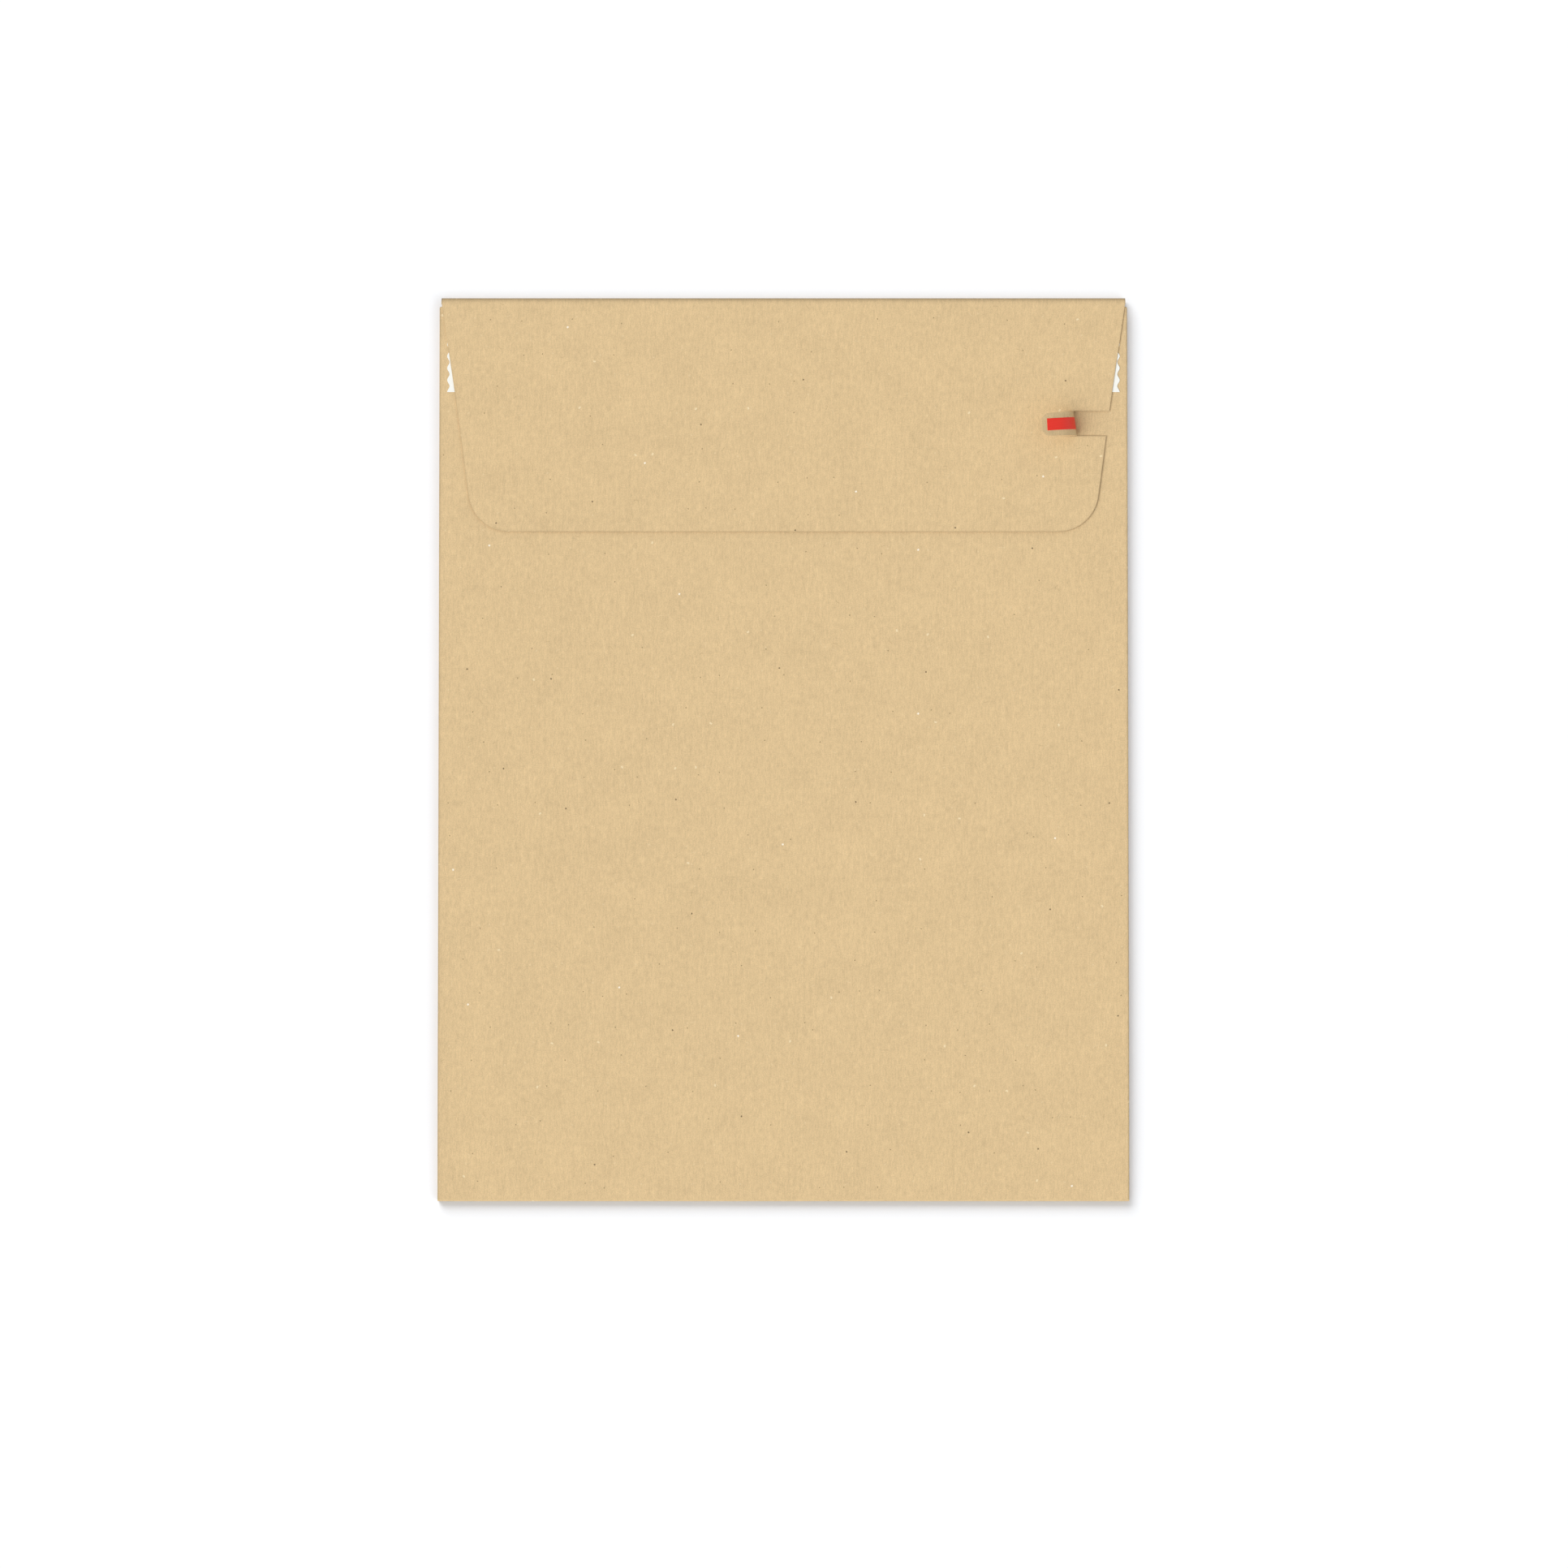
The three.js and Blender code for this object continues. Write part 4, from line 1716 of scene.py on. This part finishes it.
@dataclass
class MouthFold(Assembly):
    """The rounded fold at the mouth, from the front panel over to the flap.

    Attributes:
        spacing: Distance between points across the bag.
        lip_spacing: Distance between points from the panel's end to the fold.
        turn_steps: Steps round each quarter of the fold.
        shade_width: Width of the painted shade along the fold, where it rolls away from the light.
        crease_shade: Further painted shade along its very line.
        core_share: Width of that line as a share of the painted shade.
        end_shade_width: Width of the painted shade line at each end.
    """

    spacing: float = 4 * MM
    lip_spacing: float = 0.6 * MM
    turn_steps: int = 14
    # Painted shade along the fold's outer line and at its two ends.
    shade_width: float = 1.4 * MM
    crease_shade: float = 1.2
    core_share: float = 0.25
    end_shade_width: float = 0.4 * MM

    @property
    def radius(self) -> float:
        """Radius of the fold, to the middle of the sheet."""
        return (self.places.flap_z - self.places.front_z) / 2

    @property
    def centre_y(self) -> float:
        """Y of the fold's centre."""
        return self.places.top - self.places.paper / 2 - self.radius

    def build(self) -> None:
        """Builds the lower and the upper quarter of the fold."""
        places = self.places
        middle_z = (places.flap_z + places.front_z) / 2
        quarter = np.linspace(0, math.pi / 2, self.turn_steps + 1)
        lip = steps(places.mouth, self.centre_y, self.lip_spacing)[:-1]
        lower_y = np.concatenate([lip, self.centre_y + self.radius * np.sin(quarter)])
        lower_z = np.concatenate([np.full(len(lip), places.front_z),
                                  middle_z - self.radius * np.cos(quarter)])
        lower = self.quarter_sheet("mouth_fold_lower", lower_y, lower_z, places.mouth)
        self.dress(lower, Slot.KRAFT, "mouth_fold")
        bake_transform(lower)
        upper_y = self.centre_y + self.radius * np.cos(quarter)
        upper_z = middle_z + self.radius * np.sin(quarter)
        arc = self.centre_y + self.radius * math.pi / 2
        upper = self.quarter_sheet("mouth_fold_upper", upper_y, upper_z, arc)
        self.dress(upper, Slot.KRAFT)
        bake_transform(upper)

    def quarter_sheet(self, name: str, y: Array, z: Array, v_start: float) -> bpy.types.Object:
        """A sheet along a path in Y and Z, as wide as the throat.

        Args:
            name: Name of the piece.
            y: Path along the bag.
            z: Path in height.
            v_start: Flat place of the path's start.

        Returns:
            The new object.
        """
        places = self.places
        width = 2 * places.throat_half
        x = width * edge_steps(width, self.spacing) - places.throat_half
        points = grid(x, y[:, None], z[:, None])
        flat = flat_places(points, 0.0, v_start)
        away = y[:, None] - places.top
        # Painted shade: darker towards the fold's outer line, darkest on the line itself, and along
        # both ends.
        line = self.crease_shade * line_mark(away, self.shade_width * self.core_share)
        ends = line_mark(places.throat_half - np.abs(x), self.end_shade_width)
        wear_and_shade = -line_mark(away, self.shade_width) - line - ends
        return Sheet(name, points, flat, places.paper, wear_and_shade).build()


@dataclass
class Flap(Assembly):
    """The flap above and below the tear strip, with leaning sides and round corners.

    Attributes:
        notch_x: X of the notch's end, where the tab is folded back.
        straight: Length of the sides next to the fold that doesn't lean.
        lean: Angle by which the sides lean in.
        corner_radius: Radius of the round corners.
        spacing: Distance between points.
        corner_steps: Steps round a corner.
        spring: How far the flap's end springs up.
        spring_power: Power of the curve in which it springs up.
        droop: How far the edges of the sides bend down.
        droop_reach: Width of the part that bends down.
        waist: How hollow the sides are.
        waist_pace: Pace at which the hollow comes and goes along a side.
        upper_shift: How far the upper tear line lies below the frame's.
        lower_shift: The same for the lower tear line.
        shade_width: Width of the painted shade line along a cut edge.
        edge_shade: How dark the painted shade along a cut edge is.
        faint: Share of that painted shade that is missing near the fold.
        faint_at: Distance from the top where it is faintest.
        faint_reach: How far on from there it is faint.
        fold_y: Y of the mouth fold's centre.
        end_y: Y of the flap's end.
        upper_tear: Y of the upper tear line.
        lower_tear: Y of the lower tear line.
        v_top: Place of the fold in the paper's grain.
    """

    notch_x: float = 0.0
    straight: float = 2.0 * MM
    lean: float = math.radians(8.1)
    corner_radius: float = 20.5 * MM
    spacing: float = 4 * MM
    corner_steps: int = 22
    spring: float = 0.4 * MM
    spring_power: float = 1.5
    droop: float = 0.12 * MM
    droop_reach: float = 14 * MM
    waist: float = 0.35 * MM
    waist_pace: float = 1.15
    upper_shift: float = 0.2 * MM
    lower_shift: float = 0.6 * MM
    # Painted shade along the cut edges and beside the tear lines, faint near the fold.
    shade_width: float = 0.35 * MM
    edge_shade: float = 0.6
    faint: float = 0.9
    faint_at: float = 17 * MM
    faint_reach: float = 12 * MM
    fold_y: float = field(init=False)
    end_y: float = field(init=False)
    upper_tear: float = field(init=False)
    lower_tear: float = field(init=False)
    v_top: float = field(init=False)

    def __post_init__(self) -> None:
        """Works out the flap's places from the frame and the mouth fold."""
        fold = MouthFold(self.places, self.finishes)
        upper, lower, strip = (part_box(n) for n in ("flap_upper", "flap_lower", "tear_strip"))
        self.fold_y = fold.centre_y
        self.end_y = lower[0].y
        self.upper_tear = (upper[0].y + strip[1].y) / 2 - self.upper_shift
        self.lower_tear = (lower[1].y + strip[0].y) / 2 - self.lower_shift
        self.v_top = self.fold_y + math.pi * fold.radius

    def side(self, y: Array | float) -> Array | float:
        """Half width of the flap between its straight sides.

        Args:
            y: Places along the bag.

        Returns:
            The half width at each.
        """
        leaning = np.maximum(0.0, self.places.top - y - self.straight)
        share = smooth(self.waist_pace * leaning / (self.places.top - self.end_y))
        waist = self.waist * np.sin(math.pi * share) - self.places.inset * share
        return self.places.throat_half - leaning * math.tan(self.lean) - waist

    def corner(self) -> tuple[float, float, float]:
        """Places the right round corner.

        Returns:
            X and Y of its centre, and the Y where it meets the side.
        """
        centre_y = self.end_y + self.corner_radius
        centre_x = self.side(centre_y) - self.corner_radius / math.cos(self.lean)
        return centre_x, centre_y, centre_y - self.corner_radius * math.sin(self.lean)

    def half_width(self, y: Array) -> Array:
        """Half width of the flap, round corners included.

        Args:
            y: Places along the bag.

        Returns:
            The half width at each.
        """
        centre_x, centre_y, start = self.corner()
        below = np.clip(centre_y - y, 0, self.corner_radius)
        arc = centre_x + np.sqrt(self.corner_radius**2 - below**2)
        return np.where(y < start, arc, self.side(y))

    def lift(self, x: Array, y: Array) -> Array:
        """How far the flap lies above its plain height.

        Args:
            x: Places across the bag.
            y: Places along the bag.

        Returns:
            The relief and the flap's spring at each place.
        """
        free = np.clip((self.fold_y - y) / (self.fold_y - self.end_y), 0, 1)
        edge = np.maximum(0.0, 1 - (self.side(y) - np.abs(x)) / self.droop_reach)
        spring = self.spring * free**self.spring_power - self.droop * np.sqrt(free) * edge**2
        return self.places.relief(x, y) + spring

    def height(self, x: Array, y: Array) -> Array:
        """Middle of the flap's thickness at each place."""
        return self.places.flap_z + self.lift(x, y)

    def from_cut(self, x: Array, y: Array) -> Array:
        """Distance from the flap's cut outline.

        Args:
            x: Places across the bag.
            y: Places along the bag.

        Returns:
            The distance at each place.
        """
        centre_x, centre_y, start = self.corner()
        out = np.abs(x)
        corner = self.corner_radius - np.hypot(out - centre_x, y - centre_y)
        below = np.where(out > centre_x, corner, y - self.end_y)
        return np.where(y < start, below, (self.side(y) - out) * math.cos(self.lean))

    def painted_shade(self, x: Array, y: Array, tear: float | None) -> Array:
        """Painted shade along the flap's cut edges and beside the notch's tear lines, down to -1 at an
        edge.

        Args:
            x: Places across the bag.
            y: Places along the bag.
            tear: Y of the tear line beside the notch, if the sheet borders on one.

        Returns:
            The painted shade at each place, down to -1.
        """
        mark = line_mark(self.from_cut(x, y), self.shade_width)
        past = self.places.top - y - self.faint_at
        mark = mark * (1 - self.faint * line_mark(past, self.faint_reach))
        if tear is not None:
            beside = line_mark(y - tear, self.shade_width)
            mark = np.maximum(mark, beside * smooth((x - self.notch_x) / self.spacing + 1))
        return -self.edge_shade * mark

    def panel(self, name: str, y: Array, left: Array, right: Array,
              tear: float | None = None) -> bpy.types.Object:
        """A part of the flap between two edges.

        Args:
            name: Name of the piece.
            y: Places of its rows, from low to high.
            left: X of the left edge at each row.
            right: X of the right edge at each row.
            tear: Y of the tear line beside the notch, if the sheet borders on one.

        Returns:
            The new object.
        """
        share = edge_steps(2 * self.places.throat_half, self.spacing)
        x = left[:, None] + (right - left)[:, None] * share
        y = y[:, None]
        flat = grid(x, self.v_top + self.fold_y - y)
        # The cut edges and the tear lines at the notch get painted shade.
        wear_and_shade = self.painted_shade(x, y, tear)
        return Sheet(name, grid(x, y, self.height(x, y)), flat, self.places.paper, wear_and_shade).build()

    def build(self) -> None:
        """Builds the flap above and below the tear strip."""
        near = self.upper_tear + CUT_STEPS
        y = np.concatenate([near[:-1], steps(near[-1], self.fold_y, self.spacing)])
        half = self.half_width(y)
        upper = self.panel("flap_upper_sheet", y, -half, half, self.upper_tear)
        self.dress(upper, Slot.KRAFT, "flap_upper")
        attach(upper, Body.FLAP.value)
        turn = np.linspace(math.pi / 2, self.lean, self.corner_steps + 1)
        arc = self.corner()[1] - self.corner_radius * np.sin(turn)
        near = self.lower_tear - CUT_STEPS[::-1]
        y = np.concatenate([arc[:-1], steps(arc[-1], near[0], self.spacing)[:-1], near])
        half = self.half_width(y)
        lower = self.panel("flap_lower_sheet", y, -half, half, self.lower_tear)
        self.dress(lower, Slot.KRAFT, "flap_lower")
        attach(lower, Body.FLAP.value)


@dataclass
class TearStrip(Assembly):
    """The strip between the two tear lines, its red tape, and the pull tab folded back on it.

    Attributes:
        flap: The flap that the strip is a part of.
        skew: Angle of the folded tab across the strip.
        bend_radius: Radius of the bend at the tab's root.
        bend_turn: Angle of the bend.
        curl_radius: Radius of the tab's curl past the bend.
        curl_turn: Angle of the tab where the curl ends.
        relax_radius: Radius of the tab past the curl.
        tab_length: Length of the tab past the bend.
        taper: How much each side of the tab comes in towards its tip.
        fold_slant: How far the fold slants.
        fold_reach: Length along the tab over which it slants.
        corner_radius: Radius of the corners at the tip.
        side_clearance: Gap between the tab and each tear line.
        tape_width: Width of the tape.
        tape_shortfall: Distance from the tape's end to the tab's tip.
        tape_inset: Distance from its other end to the flap's side.
        strip_points: Points across the strip.
        tape_points: Points across the tape under the strip, and along it.
        path_points: Points on the tab's path, from which all others are read.
        across_points: Points across the tab.
        bend_points: Points along the bend.
        tab_points: Points along the tab up to the corners.
        corner_points: Points along a corner.
        flattened: Share of the tab's curl that is left when it is unfolded; not used.
        unfolded_rise: How far the unfolded tab lies above its root; not used.
        root: X of the tab's root.
        low: Y of the lower tear line.
        high: Y of the upper tear line.
        middle: Y of the strip's middle.
        tape_thickness: Thickness of the tape.
        tape_depth: Distance from the middle of the paper to the middle of the tape.
    """

    flap: Flap | None = None
    skew: float = math.radians(2.6)
    bend_radius: float = 2.0 * MM
    bend_turn: float = math.radians(95)
    curl_radius: float = 16.0 * MM
    curl_turn: float = math.radians(150)
    relax_radius: float = 60.0 * MM
    tab_length: float = 26.0 * MM
    taper: float = 0.55 * MM
    fold_slant: float = 0.8 * MM
    fold_reach: float = 12 * MM
    corner_radius: float = 4.0 * MM
    side_clearance: float = 0.1 * MM
    tape_width: float = 6.0 * MM
    tape_shortfall: float = 2.9 * MM
    tape_inset: float = 0.5 * MM
    strip_points: int = 5
    tape_points: tuple[int, int] = (4, 84)
    path_points: int = 2400
    across_points: int = 15
    bend_points: int = 24
    tab_points: int = 30
    corner_points: int = 12
    flattened: float = 0.15
    unfolded_rise: float = 0.3 * MM
    root: float = field(init=False)
    low: float = field(init=False)
    high: float = field(init=False)
    middle: float = field(init=False)
    tape_thickness: float = field(init=False)
    tape_depth: float = field(init=False)

    def __post_init__(self) -> None:
        """Reads the band, the tape and the place of the bend from the flap and the frame."""
        self.root = self.flap.notch_x
        self.low, self.high = self.flap.lower_tear, self.flap.upper_tear
        self.middle = (self.low + self.high) / 2
        low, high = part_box("tear_tape")
        self.tape_thickness = high.z - low.z
        self.tape_depth = self.places.flap_z - (low.z + high.z) / 2

    def build(self) -> None:
        """Builds the strip, its tape, the bend and the tab."""
        self.strip()
        self.strip_tape()
        self.tab()

    def root_x(self, y: Array) -> Array:
        """X of the strip's end at each y, square to the tab's lean."""
        return self.root - (y - self.middle) * math.tan(self.skew)

    def strip(self) -> None:
        """Builds the strip between the tear lines."""
        y = np.linspace(self.low, self.high, self.strip_points)
        piece = self.flap.panel("tear_strip_sheet", y, -self.flap.half_width(y), self.root_x(y))
        self.dress(piece, Slot.KRAFT, "tear_strip")
        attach(piece, Body.STRIP.value)

    def strip_tape(self) -> None:
        """Builds the red tape under the strip."""
        half = self.tape_width / 2
        across, along = self.tape_points
        y = np.linspace(self.middle - half, self.middle + half, across)
        y = y[:, None]
        left, right = self.tape_inset - self.flap.half_width(y), self.root_x(y)
        x = left + (right - left) * np.linspace(0, 1, along)
        points = grid(x, y, self.flap.height(x, y) - self.tape_depth)
        piece = Sheet("tear_tape_strip", points, grid(x, y), self.tape_thickness).build()
        self.dress(piece, Slot.TAPE, "tear_tape")
        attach(piece, Body.STRIP.value)

    @property
    def bend(self) -> float:
        """Length of the bend along the sheet."""
        return self.bend_radius * self.bend_turn

    @property
    def length(self) -> float:
        """Length of the bend and the tab along the sheet."""
        return self.bend + self.tab_length

    @property
    def half(self) -> float:
        """Half width of the tab where it leaves the strip."""
        return (self.high - self.low) / 2 - self.side_clearance

    def half_at(self, along: Array) -> Array:
        """Half width of the tab, with round corners at its tip.

        Args:
            along: Lengths along the tab.

        Returns:
            The half width at each.
        """
        into = np.clip(along - (self.length - self.corner_radius), 0, self.corner_radius)
        loss = self.corner_radius - np.sqrt(self.corner_radius**2 - into**2)
        taper = self.taper * np.clip((along - self.bend) / self.tab_length, 0, 1)
        return self.half - taper - loss

    def path(self, offset: float) -> tuple[Array, Array, Array]:
        """The tab's middle line, bent back from the strip.

        Args:
            offset: Distance of the line from the sheet's middle, outwards of the bend.

        Returns:
            Lengths along the tab, and distances past the root and above the strip there.
        """
        along = np.linspace(0, self.length, self.path_points)
        curl = self.curl_radius * (self.curl_turn - self.bend_turn)
        into_curl = np.clip(along - self.bend, 0, curl)
        past_curl = np.maximum(0.0, along - self.bend - curl)
        turn = np.minimum(along, self.bend) / self.bend_radius
        turn = turn + into_curl / self.curl_radius + past_curl / self.relax_radius
        step = along[1] - along[0]
        between = (turn[1:] + turn[:-1]) / 2
        out = np.concatenate([[0.0], np.cumsum(np.cos(between) * step)])
        up = np.concatenate([[0.0], np.cumsum(np.sin(between) * step)])
        return along, out + offset * np.sin(turn), up - offset * np.cos(turn)

    def ribbon(self, name: str, along: Array, halves: Array, offset: float,
               thickness: float) -> bpy.types.Object:
        """A sheet along the tab's path.

        Args:
            name: Name of the piece.
            along: Lengths along the path where it has points.
            halves: Half width at each.
            offset: Distance from the sheet's middle, outwards of the bend.
            thickness: Thickness of the sheet.

        Returns:
            The new object.
        """
        path, out, up = self.path(offset)
        along, halves = along[:, None], halves[:, None]
        out_at, up_at = np.interp(along, path, out), np.interp(along, path, up)
        across = halves * np.linspace(-1, 1, self.across_points)
        drift = across / math.cos(self.skew) - along * math.tan(self.skew)
        slant = np.sin(math.pi * np.clip(along / self.fold_reach, 0, 1))
        slide = -self.fold_slant * slant * across / self.half
        x = self.root + out_at * math.cos(self.skew) - drift * math.sin(self.skew) + slide
        y = self.middle + out_at * math.sin(self.skew) + drift * math.cos(self.skew)
        z = self.flap.height(np.full_like(x, self.root), y) + up_at
        v = self.flap.v_top + self.flap.fold_y - self.middle - across
        return Sheet(name, grid(x, y, z), grid(self.root + along, v), thickness).build()

    def part(self, name: str, node: str, along: Array, slot: Slot) -> bpy.types.Object:
        """Builds and dresses a part of the bend or the tab.

        Args:
            name: Name of the piece.
            node: The frame's node that it replaces.
            along: Lengths along the tab where it has points.
            slot: Whether it is the paper or the tape.

        Returns:
            The new object.
        """
        if slot is Slot.KRAFT:
            piece = self.ribbon(name, along, self.half_at(along), 0.0, self.places.paper)
        else:
            halves = np.full(len(along), self.tape_width / 2)
            piece = self.ribbon(name, along, halves, self.tape_depth, self.tape_thickness)
        return self.dress(piece, slot, node)

    def tab(self) -> None:
        """Builds the bend and the tab, each in paper and in tape."""
        rise = self.flap.height(np.array(self.root), np.array(self.middle))
        bend_at = np.linspace(0, self.bend, self.bend_points)
        for piece in (self.part("tab_bend_sheet", "tab_bend", bend_at, Slot.KRAFT),
                      self.part("tape_bend_strip", "tape_bend", bend_at, Slot.TAPE)):
            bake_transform(piece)
        round_start = self.length - self.corner_radius
        quarter = np.linspace(0, math.pi / 2, self.corner_points)
        tab_at = np.linspace(self.bend, round_start, self.tab_points)[:-1]
        tab_at = np.concatenate([tab_at, round_start + self.corner_radius * np.sin(quarter)])
        tape_at = np.linspace(self.bend, self.length - self.tape_shortfall, self.tab_points)
        for piece in (self.part("pull_tab_sheet", "tear_tab", tab_at, Slot.KRAFT),
                      self.part("pull_tab_tape", "tab_tape", tape_at, Slot.TAPE)):
            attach(piece, Body.TAB.value)
            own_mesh(piece)


@dataclass(frozen=True)
class Lamp:
    """A soft distant lamp.

    Attributes:
        name: Its name.
        level: Its light on a level surface.
        way: Direction towards it.
        softness: Angle that it fills, in degrees.
        for_floor: True if it lights the floor alone, False if it lights all but the floor.
    """

    name: str
    level: float
    way: Triple
    softness: float
    for_floor: bool

    def build(self, floor: bpy.types.Object) -> None:
        """Makes the lamp.

        Args:
            floor: The floor.
        """
        data = bpy.data.lights.new(self.name, "SUN")
        direction = Vector(self.way).normalized()
        data.energy = self.level * math.pi / direction.z
        data.angle = math.radians(self.softness)
        lamp = bpy.data.objects.new(self.name, data)
        lamp.rotation_mode = "QUATERNION"
        lamp.rotation_quaternion = direction.to_track_quat("Z", "Y")
        lamp.location = direction
        bpy.context.scene.collection.objects.link(lamp)
        lit = bpy.data.collections.new(self.name + "_lights")
        lit.objects.link(floor)
        state = "INCLUDE" if self.for_floor else "EXCLUDE"
        lit.collection_objects[0].light_linking.link_state = state
        lamp.light_linking.receiver_collection = lit


@dataclass(frozen=True)
class Studio:
    """Camera, light and floor.

    Attributes:
        camera_place: Place of the camera, straight above the bag.
        lens: Focal length in millimetres on a sensor 36 mm wide.
        dome: Light from all around.
        lamps: One lamp for the bag, and two that draw the shadows on the floor.
        floor_color: Colour of the floor, cool against the warm light that the paper throws on it.
        floor_glow: Light that the floor adds for the camera alone.
        floor_reach: Half of the floor's size.
        floor_gap: How far the floor lies under the bag.
    """

    camera_place: Triple = (0.3 * MM, -17.38 * MM, 2506 * MM)
    lens: float = 113.5
    dome: float = 0.5
    lamps: tuple[Lamp, ...] = (
        Lamp("bag_lamp", level=0.5, way=(-0.6, -0.25, 0.78), softness=50.0, for_floor=False),
        Lamp("floor_lamp", level=0.5, way=(-0.45, 0.85, 0.75), softness=45.0, for_floor=True),
        Lamp("floor_fill", level=0.12, way=(0.5, -0.5, 0.75), softness=40.0, for_floor=True),
    )
    floor_color: Color = (0.87, 0.88, 0.9)
    floor_glow: float = 0.06
    floor_reach: float = 40.0
    floor_gap: float = 0.02 * MM

    def build(self) -> None:
        """Sets up the view, the light and the floor."""
        bpy.context.scene.view_settings.view_transform = "Standard"
        self.camera()
        self.world()
        floor = self.floor()
        for lamp in self.lamps:
            lamp.build(floor)

    def camera(self) -> None:
        """Makes the camera, looking straight down."""
        data = bpy.data.cameras.new("camera")
        data.lens = self.lens
        camera = bpy.data.objects.new("camera", data)
        camera.location = self.camera_place
        bpy.context.scene.collection.objects.link(camera)
        bpy.context.scene.camera = camera

    def seen_directly(self, nodes: Nodes) -> Socket:
        """Tells the rays that see a thing directly from those that only carry its light.

        Args:
            nodes: The node tree that asks.

        Returns:
            1 for camera, glossy and transmission rays, 0 for the rest.
        """
        path = nodes.node("LightPath").outputs
        direct = nodes.math("MAXIMUM", path["Is Camera Ray"], path["Is Glossy Ray"])
        return nodes.math("MAXIMUM", direct, path["Is Transmission Ray"])

    def world(self) -> None:
        """Makes an even dome of light that looks white."""
        world = bpy.data.worlds.new("studio")
        world.use_nodes = True
        nodes = Nodes(world.node_tree)
        level = {"Value": self.seen_directly(nodes), "To Min": self.dome}
        sky = nodes.tree.nodes["Background"]
        sky.inputs["Color"].default_value = (1, 1, 1, 1)
        nodes.feed(sky.inputs["Strength"], nodes.node("MapRange", level).outputs[0])
        bpy.context.scene.world = world

    def floor(self) -> bpy.types.Object:
        """Makes the white floor, which keeps the bag's shadow.

        Returns:
            The floor.
        """
        mesh = bpy.data.meshes.new("floor")
        signs = ((-1, -1), (1, -1), (1, 1), (-1, 1))
        square = [(x * self.floor_reach, y * self.floor_reach, 0) for x, y in signs]
        mesh.from_pydata(square, [], [(0, 1, 2, 3)])
        floor = bpy.data.objects.new("floor", mesh)
        floor.location.z = -self.floor_gap
        bpy.context.scene.collection.objects.link(floor)
        shading = Shading("floor")
        shading.set(Base_Color=self.floor_color, Roughness=1.0, Specular_IOR_Level=0.0)
        seen = self.seen_directly(shading)
        shading.set(Emission_Color=(1.0, 1.0, 1.0),
                    Emission_Strength=shading.math("MULTIPLY", seen, self.floor_glow))
        mesh.materials.append(shading.material)
        return floor


def corners(box: tuple[Vector, Vector]) -> list[list[float]]:
    """A box as plain lists of numbers."""
    return [list(corner) for corner in box]


def main() -> None:
    """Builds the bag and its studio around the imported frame."""
    logging.basicConfig(level=logging.INFO, format="%(message)s")
    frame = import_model()
    tab_hinge = next(j for j in frame["joints"] if j["name"] == "tear_tab_fold")
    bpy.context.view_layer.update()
    places = Places.from_frame()
    finishes = Finishes()
    Studio().build()
    flap = Flap(places, finishes, notch_x=tab_hinge["pos_m"][0])
    assemblies = [
        FrontPanel(places, finishes),
        BottomClosure(places, finishes),
        Gusset(places, finishes, side=Side.LEFT, stack=places.sheet_pitch),
        Gusset(places, finishes, side=Side.RIGHT),
        BackPanel(places, finishes),
        StickyStrip(places, finishes),
        MouthFold(places, finishes),
        flap,
        StickyStrip(places, finishes, adhesive_node="seal_adhesive", liner_node="seal_liner",
                    body=Body.FLAP, liner_body=Body.SEAL_LINER, faces_up=False, lift=flap.lift),
        TearStrip(places, finishes, flap=flap),
    ]
    for assembly in assemblies:
        assembly.build()
        log.info("%s: %s", type(assembly).__name__, ", ".join(assembly.pieces))


if __name__ == "__main__":
    main()
